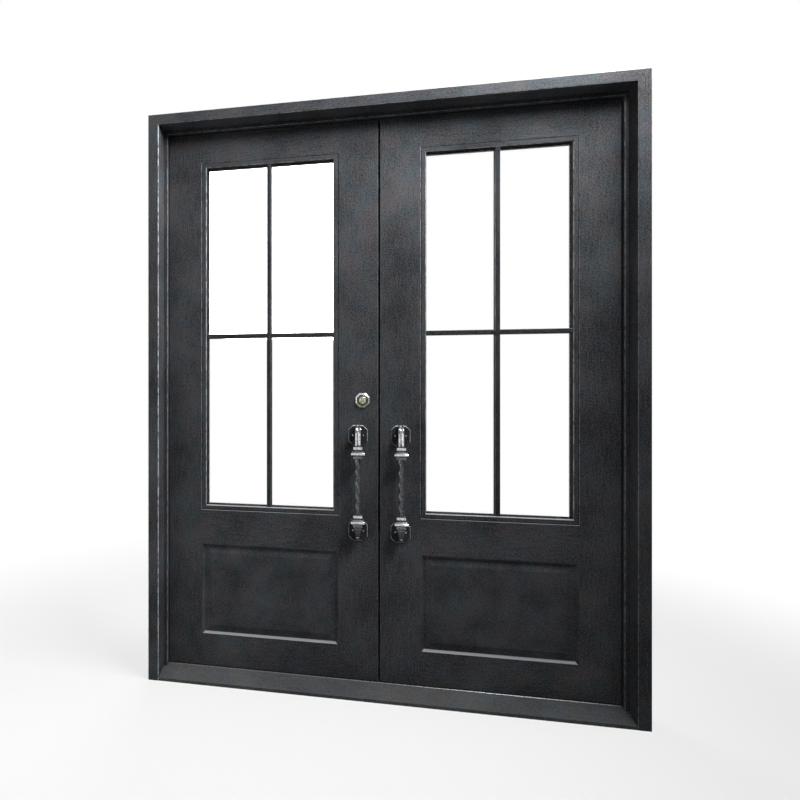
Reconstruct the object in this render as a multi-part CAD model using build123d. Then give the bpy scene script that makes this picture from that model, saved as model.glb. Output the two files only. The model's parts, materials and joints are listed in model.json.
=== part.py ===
from build123d import *
import math
import os

# Steel double entry door: two glazed leaves with raised bottom panels, hung in a tube frame with a
# sloped sill. Millimetres. X runs along the wall, Y from outside to inside, Z up. The origin is at
# floor level, in the middle of the width and halfway between the frame's outer face and the inner pulls.

# Frame
FRAME_WIDTH = 1950.0
FRAME_HEIGHT = 2438.0
FRAME_DEPTH = 150.0
JAMB_FACE = 47.0
HEAD_FACE = 44.0
FRAME_WALL = 2.5
OVERCUT = 1.0
ARRIS_RADIUS = 4.0
STOP_WIDTH = 16.0
STOP_DEPTH = 22.0
STOP_CHAMFER = 1.5
SEAL_THICKNESS = 2.7
SEAL_WIDTH = 14.0
SEAL_LIP = 2.5
SEAL_CLEARANCE = 0.3

# Sill
SILL_SETBACK = 1.0
SILL_LIP_HEIGHT = 13.0
SILL_TOP_HEIGHT = 38.0
SILL_WALL = 4.0

# Jamb anchors: screws through the rebate into the wall, one pair near the ends and one near the middle
ANCHOR_HOLE_RADIUS = 5.5
ANCHOR_END_SPACING = 1800.0
ANCHOR_MID_SPACING = 700.0
ANCHOR_MID_HEIGHT = 1215.0

# Leaves
LEAF_THICKNESS = 50.0
LEAF_WALL = 2.5
LEAF_EDGE_RADIUS = 1.5
MEETING_GAP = 8.0
JAMB_GAP = 4.5
HEAD_GAP = 4.0
SILL_GAP = 4.0
STILE_WIDTH = 162.5
TOP_RAIL_HEIGHT = 142.5
MID_RAIL_HEIGHT = 148.0
BOTTOM_RAIL_HEIGHT = 134.0
VENT_OFFSET = 18.5

# Raised bottom panels, pressed from sheet
PANEL_HEIGHT = 401.0
PANEL_MARGIN = 4.0
PANEL_RECESS_WIDTH = 8.0
PANEL_RECESS_DEPTH = 10.0
PANEL_GROOVE_WIDTH = 4.0
PANEL_BEVEL_WIDTH = 27.0
PANEL_FIELD_DEPTH = 2.0
PANEL_SHEET = 2.0

# Glazing
BEAD_WIDTH = 21.0
BEAD_RABBET_WIDTH = 2.5
BEAD_RABBET_DEPTH = 8.0
BEAD_CHAMFER = 3.0
LITE_CHAMFER = 2.0
OUTER_BEAD_DEPTH = 18.0
PANE_THICKNESS = 5.0
PANE_SPACE = 10.0
SPACER_WIDTH = 8.0
GLASS_BITE = 15.0
MUNTIN_WIDTH = 18.0
MUNTIN_SETBACK = 2.0
MUNTIN_CHAMFER = 2.0

# Sweeps and the seal between the leaves
SWEEP_WIDTH = 12.0
SWEEP_INSET = 4.0
SWEEP_CLEARANCE = 0.3
MEETING_SEAL_WIDTH = 8.0
MEETING_SEAL_INSET = 6.0
MEETING_SEAL_CLEARANCE = 0.8

# Barrel hinges on the inside, three to a leaf
HINGE_COUNT = 3
HINGE_END_OFFSET = 220.0
BARREL_RADIUS = 11.0
BARREL_LENGTH = 55.0
BARREL_LIFT = 1.0
BARREL_CHAMFER = 2.5
BARREL_GAP = 0.5
HINGE_PIN_RADIUS = 6.0
HINGE_PIN_CLEARANCE = 0.05
HINGE_PIN_END_GAP = 1.0
HINGE_BORE_CAP = 4.0
HINGE_PLATE_LENGTH = 40.0
HINGE_PLATE_THICKNESS = 6.0

# Pull handles
PULL_OFFSET = 86.0
PULL_BELOW_BOLT = 146.0
PULL_SPACING = 397.0
PULL_STANDOFF = 52.0
ROSETTE_WIDTH = 79.0
ROSETTE_HEIGHT = 84.0
ROSETTE_CORNER = 18.0
ROSETTE_THICKNESS = 6.0
ROSETTE_CHAMFER = 2.5
STRAP_WIDTH = 21.0
STRAP_THICKNESS = 14.0
STRAP_BEND_RADIUS = 28.0
FLUTE_WIDTH = 5.0
FLUTE_DEPTH = 2.0
SHAFT_SIDE = 16.0
SHAFT_TWIST = 450.0
COLLAR_WIDTH = 36.0
COLLAR_HEIGHT = 8.0
COLLAR_BEVEL = 2.0
NECK_WIDTH = 23.0
NECK_HEIGHT = 4.0
SHOULDER = 1.5
CAPITAL_TOP_WIDTH = 38.0
CAPITAL_WIDTH = 54.0
CAPITAL_SLOPE = 8.0
CAPITAL_BAND = 7.0
CAPITAL_DROP = 43.5
BASE_RISE = 74.0
POST_SIDE = 16.0
POST_RISE = 18.0
FINIAL_WIDTH = 30.0
FINIAL_SWELL = 8.0
FINIAL_TAPER = 34.0
FINIAL_END_WIDTH = 14.0
FINIAL_BALL_RADIUS = 8.5

# Deadbolt in the left leaf, and its strike in the right one
BOLT_BACKSET = 63.5
BOLT_HEIGHT = 1208.0
BOLT_WIDTH = 25.0
BOLT_THICKNESS = 18.0
BOLT_THROW = 25.0
BOLT_TAIL = 15.0
BOLT_CHAMFER = 1.0
BOLT_CLEARANCE = 0.3
STRIKE_CLEARANCE = 1.0
CASE_WALL = 2.0
CASE_REACH = 80.0
FACEPLATE_WIDTH = 25.0
FACEPLATE_HEIGHT = 57.0
LOCK_ROSETTE_WIDTH = 64.0
LOCK_ROSETTE_STEP = 4.0
LOCK_ROSETTE_INSET = 7.0
LOCK_ROSETTE_BEVEL = 1.5
LOCK_CLEARANCE = 0.3
CYLINDER_RADIUS = 16.0
CYLINDER_PROUD = 5.0
CYLINDER_BEVEL = 2.0
KEYWAY_WIDTH = 3.0
KEYWAY_HEIGHT = 14.0
KEYWAY_DEPTH = 8.0
SPINDLE_RADIUS = 5.0
SPINDLE_CLEARANCE = 1.0
CAM_RADIUS = 12.0
CAM_THICKNESS = 6.0
TURN_HUB_RADIUS = 12.0
TURN_HUB_HEIGHT = 8.0
TURN_LENGTH = 40.0
TURN_THICKNESS = 8.0
TURN_PROUD = 24.0
TURN_END_RADIUS = 6.0
TURN_EDGE = 1.5

# Flush bolts in the right leaf's edge
ROD_RADIUS = 6.0
ROD_CLEARANCE = 0.05
ROD_HOLE_CLEARANCE = 0.5
ROD_RETRACT = 2.0
ROD_TRAVEL = 20.0
ROD_TAIL = 10.0
FLUSH_PLATE_LENGTH = 160.0
FLUSH_PLATE_WIDTH = 20.0
FLUSH_PLATE_INSET = 40.0
LUG_HEIGHT = 8.0
LUG_WALL = 2.0
KNOB_WIDTH = 8.0
KNOB_HEIGHT = 16.0
KNOB_RECESS = 0.5
SLOT_PLAY = 1.0

# Places worked out from the sizes above
pull_reach = PULL_STANDOFF + CAPITAL_WIDTH / 2
frame_front = -(FRAME_DEPTH + pull_reach) / 2
frame_back = frame_front + FRAME_DEPTH
half_width = FRAME_WIDTH / 2
half_opening = half_width - JAMB_FACE
head_underside = FRAME_HEIGHT - HEAD_FACE
leaf_back = frame_back
leaf_front = leaf_back - LEAF_THICKNESS
leaf_middle = (leaf_front + leaf_back) / 2
seal_front = leaf_front - SEAL_CLEARANCE - SEAL_THICKNESS
stop_front = seal_front - STOP_DEPTH
meeting_edge = MEETING_GAP / 2
hinge_edge = half_opening - JAMB_GAP
leaf_bottom = SILL_TOP_HEIGHT + SILL_GAP
leaf_top = head_underside - HEAD_GAP
inner_stile_line = meeting_edge + STILE_WIDTH
outer_stile_line = hinge_edge - STILE_WIDTH
bay_middle = (inner_stile_line + outer_stile_line) / 2
bay_width = outer_stile_line - inner_stile_line
panel_bottom = leaf_bottom + BOTTOM_RAIL_HEIGHT
panel_top = panel_bottom + PANEL_HEIGHT
lite_bottom = panel_top + MID_RAIL_HEIGHT
lite_top = leaf_top - TOP_RAIL_HEIGHT
lite_height = lite_top - lite_bottom
lite_middle = (lite_bottom + lite_top) / 2
glass_front = leaf_front + OUTER_BEAD_DEPTH
glass_back = glass_front + 2 * PANE_THICKNESS + PANE_SPACE
inner_bead_depth = leaf_back - glass_back
hinge_x = (hinge_edge + half_opening) / 2
hinge_y = leaf_back + BARREL_LIFT + BARREL_RADIUS
rod_x = meeting_edge + VENT_OFFSET
rod_hole_radius = ROD_RADIUS + ROD_HOLE_CLEARANCE
lock_x = -(meeting_edge + BOLT_BACKSET)
pull_height = BOLT_HEIGHT - PULL_BELOW_BOLT - PULL_SPACING / 2
edge_wall = (meeting_edge, meeting_edge + LEAF_WALL)
faceplate_y = (leaf_middle - FACEPLATE_WIDTH / 2, leaf_middle + FACEPLATE_WIDTH / 2)
faceplate_z = (BOLT_HEIGHT - FACEPLATE_HEIGHT / 2, BOLT_HEIGHT + FACEPLATE_HEIGHT / 2)
flush_plate_y = (leaf_middle - FLUSH_PLATE_WIDTH / 2, leaf_middle + FLUSH_PLATE_WIDTH / 2)


def block(x, y, z):
    """A box between three pairs of limits."""
    size = [high - low for low, high in (x, y, z)]
    middle = [(high + low) / 2 for low, high in (x, y, z)]
    return Pos(*middle) * Box(*size)


def rod(radius, start, end, axis="Z"):
    """A round bar of one radius between two points that lie along an axis."""
    length = (Vector(*end) - Vector(*start)).length
    middle = (Vector(*start) + Vector(*end)) / 2
    turn = {"X": Rot(0, 90, 0), "Y": Rot(90, 0, 0), "Z": Rot(0, 0, 0)}[axis]
    return Pos(middle) * turn * Cylinder(radius, length)


def upright_rectangle(x, y, z, width, height):
    """A rectangle that faces along Y, centred on a point."""
    return Plane((x, y, z), x_dir=(1, 0, 0), z_dir=(0, -1, 0)) * Rectangle(width, height)


def bevelled_slab(x, z, near, far):
    """A slab that tapers along Y between two rectangles, each given as (y, width, height)."""
    faces = [upright_rectangle(x, y, z, width, height) for y, width, height in (near, far)]
    return loft(faces, ruled=True)


def prism_along_y(points, y):
    """A straight prism between two values of Y, with an outline given in X and Z."""
    outline = make_face(Plane.XZ * Polyline(*points, close=True))
    return extrude(Pos(0, y[0], 0) * outline, y[1] - y[0], dir=(0, 1, 0))


def prism_along_x(points, x):
    """A straight prism between two values of X, with an outline given in Y and Z."""
    outline = make_face(Plane.YZ * Polyline(*points, close=True))
    return extrude(Pos(x[0], 0, 0) * outline, x[1] - x[0], dir=(1, 0, 0))


def mirrored(part):
    """The same piece for the left leaf or jamb."""
    return mirror(part, about=Plane.YZ)


# Frame

def frame_tube(length):
    """A rounded rectangular tube that stands on the origin, with its broad sides along Y."""
    outer = RectangleRounded(JAMB_FACE, FRAME_DEPTH, ARRIS_RADIUS)
    inner = Rectangle(JAMB_FACE - 2 * FRAME_WALL, FRAME_DEPTH - 2 * FRAME_WALL)
    return extrude(outer - inner, length)


def anchor_holes():
    """Screw holes through both walls of the right jamb, behind the stop."""
    spots = []
    for spacing in (ANCHOR_END_SPACING, ANCHOR_MID_SPACING):
        spots += [ANCHOR_MID_HEIGHT - spacing / 2, ANCHOR_MID_HEIGHT + spacing / 2]
    ends = (half_opening - OVERCUT, half_width + OVERCUT)
    return [rod(ANCHOR_HOLE_RADIUS, (ends[0], leaf_middle, z), (ends[1], leaf_middle, z), "X") for z in spots]


def right_jamb():
    """A post with its top end mitred to the head."""
    middle = (frame_front + frame_back) / 2
    tube = Pos(half_width - JAMB_FACE / 2, middle, 0) * frame_tube(FRAME_HEIGHT)
    corner = [(half_opening, 0), (half_width, 0), (half_width, FRAME_HEIGHT), (half_opening, head_underside)]
    return (tube & prism_along_y(corner, (frame_front, frame_back))) - anchor_holes()


def head_jamb():
    """The top of the frame, mitred to both jambs, with a hole for the upper flush bolt."""
    outer = RectangleRounded(FRAME_DEPTH, HEAD_FACE, ARRIS_RADIUS)
    inner = Rectangle(FRAME_DEPTH - 2 * FRAME_WALL, HEAD_FACE - 2 * FRAME_WALL)
    middle = (frame_front + frame_back) / 2
    height = FRAME_HEIGHT - HEAD_FACE / 2
    section = Plane((-half_width, middle, height), x_dir=(0, 1, 0), z_dir=(1, 0, 0)) * (outer - inner)
    tube = extrude(section, FRAME_WIDTH)
    ends = [(-half_width, FRAME_HEIGHT), (half_width, FRAME_HEIGHT)]
    ends += [(half_opening, head_underside), (-half_opening, head_underside)]
    hole_ends = (head_underside - OVERCUT, head_underside + FRAME_WALL + OVERCUT)
    bolt_hole = rod(rod_hole_radius, (rod_x, leaf_middle, hole_ends[0]), (rod_x, leaf_middle, hole_ends[1]))
    return (tube & prism_along_y(ends, (frame_front, frame_back))) - bolt_hole


def sill_outline(drop):
    """The sill's section in Y and Z, with its faces moved in by drop."""
    front = frame_front + SILL_SETBACK + drop
    back = frame_back - drop
    points = [(front, 0), (front, SILL_LIP_HEIGHT - drop), (leaf_front, SILL_TOP_HEIGHT - drop)]
    return points + [(back, SILL_TOP_HEIGHT - drop), (back, 0)]


def sill_prism(drop):
    """The sill's section, run from jamb to jamb."""
    return prism_along_x(sill_outline(drop), (-half_opening, half_opening))


def threshold():
    """A bent plate, open below, with a hole for the lower flush bolt."""
    hole_ends = (SILL_TOP_HEIGHT - SILL_WALL - OVERCUT, SILL_TOP_HEIGHT + OVERCUT)
    bolt_hole = rod(rod_hole_radius, (rod_x, leaf_middle, hole_ends[0]), (rod_x, leaf_middle, hole_ends[1]))
    return sill_prism(0) - sill_prism(SILL_WALL) - bolt_hole


def right_stop():
    """The upright that the leaf closes towards, cut to the slope of the sill."""
    x = (half_opening - STOP_WIDTH, half_opening)
    bar = block(x, (stop_front, seal_front), (0, head_underside - STOP_WIDTH))
    front_edge = bar.edges().filter_by(Axis.Z).group_by(Axis.X)[0]
    return chamfer(front_edge, STOP_CHAMFER) - sill_prism(0)


def head_stop():
    """The same bar under the head, over both leaves."""
    z = (head_underside - STOP_WIDTH, head_underside)
    bar = block((-half_opening, half_opening), (stop_front, seal_front), z)
    lower_edges = bar.edges().filter_by(Axis.X).group_by(Axis.Z)[0]
    return chamfer(lower_edges, STOP_CHAMFER)


def stop_seals():
    """Soft strips behind the stops, which the closed leaves lie against."""
    depth = (seal_front, seal_front + SEAL_THICKNESS)
    lip = STOP_WIDTH + SEAL_LIP
    inner = half_opening - lip
    low = head_underside - lip
    side = block((inner, inner + SEAL_WIDTH), depth, (SILL_TOP_HEIGHT, low))
    head = block((-inner - SEAL_WIDTH, inner + SEAL_WIDTH), depth, (low, low + SEAL_WIDTH))
    return Compound(children=[side, mirrored(side), head])


# Leaf members, made for the right leaf

def lite_bevels():
    """Chamfers round the glazed opening, on both faces."""
    cuts = []
    spread = 2 * (LITE_CHAMFER + OVERCUT)
    for face, inward in ((leaf_front, 1), (leaf_back, -1)):
        near = (face - inward * OVERCUT, bay_width + spread, lite_height + spread)
        far = (face + inward * LITE_CHAMFER, bay_width, lite_height)
        cuts.append(bevelled_slab(bay_middle, lite_middle, near, far))
    return cuts


def stile(edge, inner):
    """A capped tube with its long outer edges rounded, and a vent down its middle."""
    low, high = sorted((edge, inner))
    bar = block((low, high), (leaf_front, leaf_back), (leaf_bottom, leaf_top))
    side = 0 if edge < inner else -1
    bar = fillet(bar.edges().filter_by(Axis.Z).group_by(Axis.X)[side], LEAF_EDGE_RADIUS)
    hollow = block((low + LEAF_WALL, high - LEAF_WALL), (leaf_front + LEAF_WALL, leaf_back - LEAF_WALL),
                   (leaf_bottom + LEAF_WALL, leaf_top - LEAF_WALL))
    vent_x = edge + VENT_OFFSET if edge < inner else edge - VENT_OFFSET
    vent_ends = (leaf_bottom - OVERCUT, leaf_top + OVERCUT)
    vent = rod(rod_hole_radius, (vent_x, leaf_middle, vent_ends[0]), (vent_x, leaf_middle, vent_ends[1]))
    return bar - hollow - vent - lite_bevels()


def rail(bottom, top):
    """A tube between the stiles, closed by them at its ends."""
    x = (inner_stile_line, outer_stile_line)
    bar = block(x, (leaf_front, leaf_back), (bottom, top))
    y = (leaf_front + LEAF_WALL, leaf_back - LEAF_WALL)
    return bar - block(x, y, (bottom + LEAF_WALL, top - LEAF_WALL)) - lite_bevels()


def panel(face, inward):
    """One pressed skin: a flat margin, a steep recess, a groove and a bevel up to the raised field."""
    z = (panel_bottom + panel_top) / 2
    groove = face + inward * PANEL_RECESS_DEPTH
    field = face + inward * PANEL_FIELD_DEPTH
    back = groove + inward * PANEL_SHEET

    def slab(near_y, near_inset, far_y, far_inset):
        near = (near_y, bay_width - 2 * near_inset, PANEL_HEIGHT - 2 * near_inset)
        far = (far_y, bay_width - 2 * far_inset, PANEL_HEIGHT - 2 * far_inset)
        return bevelled_slab(bay_middle, z, near, far)

    recess = PANEL_MARGIN + PANEL_RECESS_WIDTH
    foot = recess + PANEL_GROOVE_WIDTH
    crest = foot + PANEL_BEVEL_WIDTH
    body = slab(face, 0, back, 0)
    tray = slab(face, PANEL_MARGIN, groove, recess)
    raised = slab(groove, foot, field, crest)
    sheet = inward * PANEL_SHEET
    under = slab(back, foot + PANEL_SHEET, field + sheet, crest + PANEL_SHEET)
    return (body - tray) + raised - under


# Glazing

def lite_slab(faces, width, height):
    """A slab centred on the glazed opening, between two values of Y."""
    near, far = faces
    return bevelled_slab(bay_middle, lite_middle, (near, width, height), (far, width, height))


def ring_bars(face, depth, inward):
    """Four mitred beads round the glazed opening. A rabbet along their outer edge leaves a shadow line."""
    back = face + inward * depth
    inner = (bay_width - 2 * BEAD_WIDTH, lite_height - 2 * BEAD_WIDTH)
    ring = lite_slab((face, back), bay_width, lite_height) - lite_slab((face, back), *inner)
    step = face + inward * min(BEAD_RABBET_DEPTH, depth / 2)
    core = (bay_width - 2 * BEAD_RABBET_WIDTH, lite_height - 2 * BEAD_RABBET_WIDTH)
    ring -= lite_slab((face, step), bay_width, lite_height) - lite_slab((face, step), *core)
    wide = [size + 2 * BEAD_CHAMFER for size in inner]
    foot = face + inward * BEAD_CHAMFER
    ring -= bevelled_slab(bay_middle, lite_middle, (face, *wide), (foot, *inner))
    return Compound(children=[ring & sector for sector in mitre_sectors(face, back)])


def mitre_sectors(face, back):
    """Prisms that split a rectangular ring along 45 degree mitres into two sides, a head and a foot."""
    half_w = bay_width / 2
    half_h = lite_height / 2
    left, right = bay_middle - half_w, bay_middle + half_w
    low, high = lite_middle - half_h, lite_middle + half_h
    side = [(left, low), (bay_middle, low + half_w), (bay_middle, high - half_w), (left, high)]
    other = [(2 * bay_middle - x, z) for x, z in side]
    foot = [(left, low), (right, low), (bay_middle, low + half_w)]
    head = [(left, high), (right, high), (bay_middle, high - half_w)]
    depth = sorted((face, back))
    return [prism_along_y(outline, depth) for outline in (side, other, foot, head)]


def glass():
    """The two panes of an insulated unit."""
    width = bay_width - 2 * BEAD_WIDTH + 2 * GLASS_BITE
    height = lite_height - 2 * BEAD_WIDTH + 2 * GLASS_BITE
    x = (bay_middle - width / 2, bay_middle + width / 2)
    z = (lite_middle - height / 2, lite_middle + height / 2)
    outer = block(x, (glass_front, glass_front + PANE_THICKNESS), z)
    inner = block(x, (glass_back - PANE_THICKNESS, glass_back), z)
    return Compound(children=[outer, inner])


def glass_spacer():
    """The bar that keeps the panes apart, hidden behind the beads."""
    width = bay_width - 2 * BEAD_WIDTH + 2 * GLASS_BITE
    height = lite_height - 2 * BEAD_WIDTH + 2 * GLASS_BITE
    y = (glass_front + PANE_THICKNESS, glass_back - PANE_THICKNESS)

    def fill(inset):
        x = (bay_middle - width / 2 + inset, bay_middle + width / 2 - inset)
        z = (lite_middle - height / 2 + inset, lite_middle + height / 2 - inset)
        return block(x, y, z)

    return fill(0) - fill(SPACER_WIDTH)


def muntins(face, glass_face):
    """One upright bar and two cross bars against a pane."""
    inward = 1 if glass_face > face else -1
    front = face + inward * MUNTIN_SETBACK
    half = MUNTIN_WIDTH / 2
    y = sorted((front, glass_face))
    half_clear = (bay_width - 2 * BEAD_WIDTH) / 2
    clear_z = (lite_bottom + BEAD_WIDTH, lite_top - BEAD_WIDTH)
    upright = block((bay_middle - half, bay_middle + half), y, clear_z)
    cross_z = (lite_middle - half, lite_middle + half)
    crosses = [block((bay_middle - half_clear, bay_middle - half), y, cross_z)]
    crosses.append(block((bay_middle + half, bay_middle + half_clear), y, cross_z))
    outer_side = 0 if inward > 0 else -1
    upright = chamfer(upright.edges().filter_by(Axis.Z).group_by(Axis.Y)[outer_side], MUNTIN_CHAMFER)
    bevelled = []
    for bar in crosses:
        front_edges = bar.edges().filter_by(Axis.X).group_by(Axis.Y)[outer_side]
        bevelled.append(chamfer(front_edges, MUNTIN_CHAMFER))
    return Compound(children=[upright, *bevelled])


# Seals

def sweep_strip():
    """A wiper under the leaf that clears the sill by a hair."""
    x = (meeting_edge + LEAF_EDGE_RADIUS, hinge_edge - LEAF_EDGE_RADIUS)
    y = (leaf_front + SWEEP_INSET, leaf_front + SWEEP_INSET + SWEEP_WIDTH)
    return block(x, y, (SILL_TOP_HEIGHT + SWEEP_CLEARANCE, leaf_bottom))


def meeting_seal():
    """A bulb on the right leaf's edge that fills the gap to the left leaf."""
    y = (leaf_back - MEETING_SEAL_INSET - MEETING_SEAL_WIDTH, leaf_back - MEETING_SEAL_INSET)
    return block((-meeting_edge + MEETING_SEAL_CLEARANCE, meeting_edge), y, (leaf_bottom, leaf_top))


# Hinges, made for the right leaf

def hinge_heights():
    """The levels where the two knuckles of each hinge meet."""
    first = leaf_bottom + HINGE_END_OFFSET
    last = leaf_top - HINGE_END_OFFSET
    return [first + (last - first) * index / (HINGE_COUNT - 1) for index in range(HINGE_COUNT)]


def knuckle(bottom, top, reach):
    """A barrel with a bevel at its far end and a weld plate that runs from its axis."""
    barrel = rod(BARREL_RADIUS, (hinge_x, hinge_y, bottom), (hinge_x, hinge_y, top))
    far_end = 0 if reach > 0 else -1
    barrel = chamfer(barrel.edges().filter_by(GeomType.CIRCLE).sort_by(Axis.Z)[far_end], BARREL_CHAMFER)
    x = sorted((hinge_x, hinge_x + reach))
    y = (leaf_back, leaf_back + HINGE_PLATE_THICKNESS)
    return barrel + block(x, y, (bottom + BARREL_CHAMFER, top - BARREL_CHAMFER))


def frame_hinges():
    """Lower knuckles, welded to the jamb, with their pins standing up out of them."""
    pieces = []
    for z in hinge_heights():
        lower = knuckle(z - BARREL_LENGTH, z - BARREL_GAP / 2, HINGE_PLATE_LENGTH)
        pin_top = z + BARREL_LENGTH - HINGE_BORE_CAP - HINGE_PIN_END_GAP
        pin = rod(HINGE_PIN_RADIUS, (hinge_x, hinge_y, z - BARREL_LENGTH / 2), (hinge_x, hinge_y, pin_top))
        pieces.append(lower + pin)
    return Compound(children=pieces)


def leaf_hinges():
    """Upper knuckles, welded to the leaf, each with a blind bore that drops over its pin."""
    pieces = []
    for z in hinge_heights():
        upper = knuckle(z + BARREL_GAP / 2, z + BARREL_LENGTH, -HINGE_PLATE_LENGTH)
        bore_top = z + BARREL_LENGTH - HINGE_BORE_CAP
        bore_radius = HINGE_PIN_RADIUS + HINGE_PIN_CLEARANCE
        pieces.append(upper - rod(bore_radius, (hinge_x, hinge_y, z), (hinge_x, hinge_y, bore_top)))
    return Compound(children=pieces)


# Pull handles, made at the right leaf's outer face

def octagon_plate(width, height, corner, thickness, bevel):
    """A plate with cut corners that lies against Y = 0 and grows towards -Y, with a bevelled rim."""
    def outline(shrink):
        w = width / 2 - shrink
        h = height / 2 - shrink
        c = corner - (2 - 2 ** 0.5) * shrink
        quarter = [(w, h - c), (w - c, h)]
        points = quarter + [(-x, z) for x, z in reversed(quarter)]
        points += [(-x, -z) for x, z in quarter] + [(x, -z) for x, z in reversed(quarter)]
        return Polyline(*points, close=True)

    back = make_face(Plane.XZ * outline(0))
    middle = make_face(Plane.XZ.offset(thickness - bevel) * outline(0))
    front = make_face(Plane.XZ.offset(thickness) * outline(bevel))
    return loft([back, middle], ruled=True) + loft([middle, front], ruled=True)


def square_stack(top, width, stages):
    """A solid of level squares hung from a height. A stage gives its drop and its width below."""
    faces = [Plane((0, -PULL_STANDOFF, top)) * Rectangle(width, width)]
    for drop, width in stages:
        top -= drop
        faces.append(Plane((0, -PULL_STANDOFF, top)) * Rectangle(width, width))
    return loft(faces, ruled=True)


def capital_stages():
    """A collar, a neck, a plate with a sloping top, a second neck and a second collar."""
    collar = [(COLLAR_BEVEL, COLLAR_WIDTH), (COLLAR_HEIGHT, COLLAR_WIDTH)]
    neck = [(SHOULDER, NECK_WIDTH), (NECK_HEIGHT, NECK_WIDTH)]
    plate = [(SHOULDER, CAPITAL_TOP_WIDTH), (CAPITAL_SLOPE, CAPITAL_WIDTH), (CAPITAL_BAND, CAPITAL_WIDTH)]
    return collar + neck + plate + neck + [(SHOULDER, COLLAR_WIDTH), (COLLAR_HEIGHT, COLLAR_WIDTH)]


def gooseneck(top, bottom):
    """The fluted strap that leaves the upper rosette level and bends down into the capital."""
    level = top - STRAP_THICKNESS / 2
    corners = [(0, -ROSETTE_THICKNESS, level), (0, -PULL_STANDOFF, level), (0, -PULL_STANDOFF, bottom)]
    route = FilletPolyline(*corners, radius=STRAP_BEND_RADIUS - STRAP_THICKNESS / 2)
    section = Plane(route @ 0, x_dir=(1, 0, 0), z_dir=route % 0) * Rectangle(STRAP_WIDTH, STRAP_THICKNESS)
    strap = sweep(section, path=route)
    outer_y = -PULL_STANDOFF - STRAP_THICKNESS / 2
    flute_y = (outer_y - OVERCUT, outer_y + FLUTE_DEPTH)
    return strap - block((-FLUTE_WIDTH / 2, FLUTE_WIDTH / 2), flute_y, (bottom, top - STRAP_BEND_RADIUS))


def twisted_shaft(bottom, top):
    """The square bar between the capitals, forged into an even twist."""
    start = (0, -PULL_STANDOFF, bottom)
    outline = Wire.make_rect(SHAFT_SIDE, SHAFT_SIDE, Plane(start))
    return Solid.extrude_linear_with_rotation(outline, start, (0, 0, top - bottom), SHAFT_TWIST)


def finial(top):
    """The square drop below the lower capital, with its ball."""
    stages = [(FINIAL_SWELL, FINIAL_WIDTH), (FINIAL_TAPER, FINIAL_END_WIDTH)]
    ball_height = top - FINIAL_SWELL - FINIAL_TAPER - FINIAL_BALL_RADIUS / 2
    return square_stack(top, NECK_WIDTH, stages) + Pos(0, -PULL_STANDOFF, ball_height) * faceted_ball()


def faceted_ball():
    """A ball of flat facets, eight of them round its middle."""
    rings = []
    for step in range(4):
        angle = math.radians(22.5 + 45 * step)
        level = Plane((0, 0, FINIAL_BALL_RADIUS * math.cos(angle)))
        rings.append(level * RegularPolygon(FINIAL_BALL_RADIUS * math.sin(angle), 8))
    return loft(rings, ruled=True)


def pull_handle():
    """One cast and forged bar: strap, capital, twisted shaft, capital and finial."""
    collar_top = COLLAR_WIDTH - 2 * COLLAR_BEVEL
    capital_height = sum(drop for drop, width in capital_stages())
    upper = PULL_SPACING / 2 - CAPITAL_DROP
    lower = -PULL_SPACING / 2 + BASE_RISE
    body = gooseneck(PULL_SPACING / 2 + ROSETTE_HEIGHT / 2, upper)
    body += square_stack(upper, collar_top, capital_stages())
    body += twisted_shaft(lower, upper - capital_height)
    body += square_stack(lower, collar_top, capital_stages())
    body += finial(lower - capital_height)
    post_z = -PULL_SPACING / 2 + POST_RISE
    half = POST_SIDE / 2
    return body + block((-half, half), (-PULL_STANDOFF, -ROSETTE_THICKNESS), (post_z - half, post_z + half))


def pull_at(inside):
    """The pull handle on the right leaf's outer or inner face."""
    if inside:
        return Pos(PULL_OFFSET, leaf_back, pull_height) * Rot(0, 0, 180) * pull_bar
    return Pos(PULL_OFFSET, leaf_front, pull_height) * pull_bar


def pull_rosettes():
    """Upper and lower rosettes on both faces of the right leaf."""
    plate = octagon_plate(ROSETTE_WIDTH, ROSETTE_HEIGHT, ROSETTE_CORNER, ROSETTE_THICKNESS, ROSETTE_CHAMFER)
    plates = []
    for side in (-1, 1):
        z = pull_height + side * PULL_SPACING / 2
        plates.append(Pos(PULL_OFFSET, leaf_front, z) * plate)
        plates.append(Pos(PULL_OFFSET, leaf_back, z) * Rot(0, 0, 180) * plate)
    return Compound(children=plates)


# Deadbolt, placed straight in the left leaf

def bolt_room(x, extra):
    """The bolt's own section, grown by extra, over a stretch of X."""
    y = (leaf_middle - BOLT_THICKNESS / 2 - extra, leaf_middle + BOLT_THICKNESS / 2 + extra)
    z = (BOLT_HEIGHT - BOLT_WIDTH / 2 - extra, BOLT_HEIGHT + BOLT_WIDTH / 2 + extra)
    return block(x, y, z)


def lock_stile_left():
    """The left leaf's meeting stile, cut for the lock's faceplate, cylinder and spindle."""
    body = mirrored(stile(meeting_edge, inner_stile_line))
    body -= block((-edge_wall[1], -edge_wall[0]), faceplate_y, faceplate_z)
    body -= lock_rod(CYLINDER_RADIUS + LOCK_CLEARANCE, leaf_front - OVERCUT, leaf_front + LEAF_WALL + OVERCUT)
    inner_wall = (leaf_back - LEAF_WALL - OVERCUT, leaf_back + OVERCUT)
    return body - lock_rod(SPINDLE_RADIUS + SPINDLE_CLEARANCE, *inner_wall)


def lock_rod(radius, start, end):
    """A round bar through the leaf on the lock's axis."""
    return rod(radius, (lock_x, start, BOLT_HEIGHT), (lock_x, end, BOLT_HEIGHT), "Y")


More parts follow.
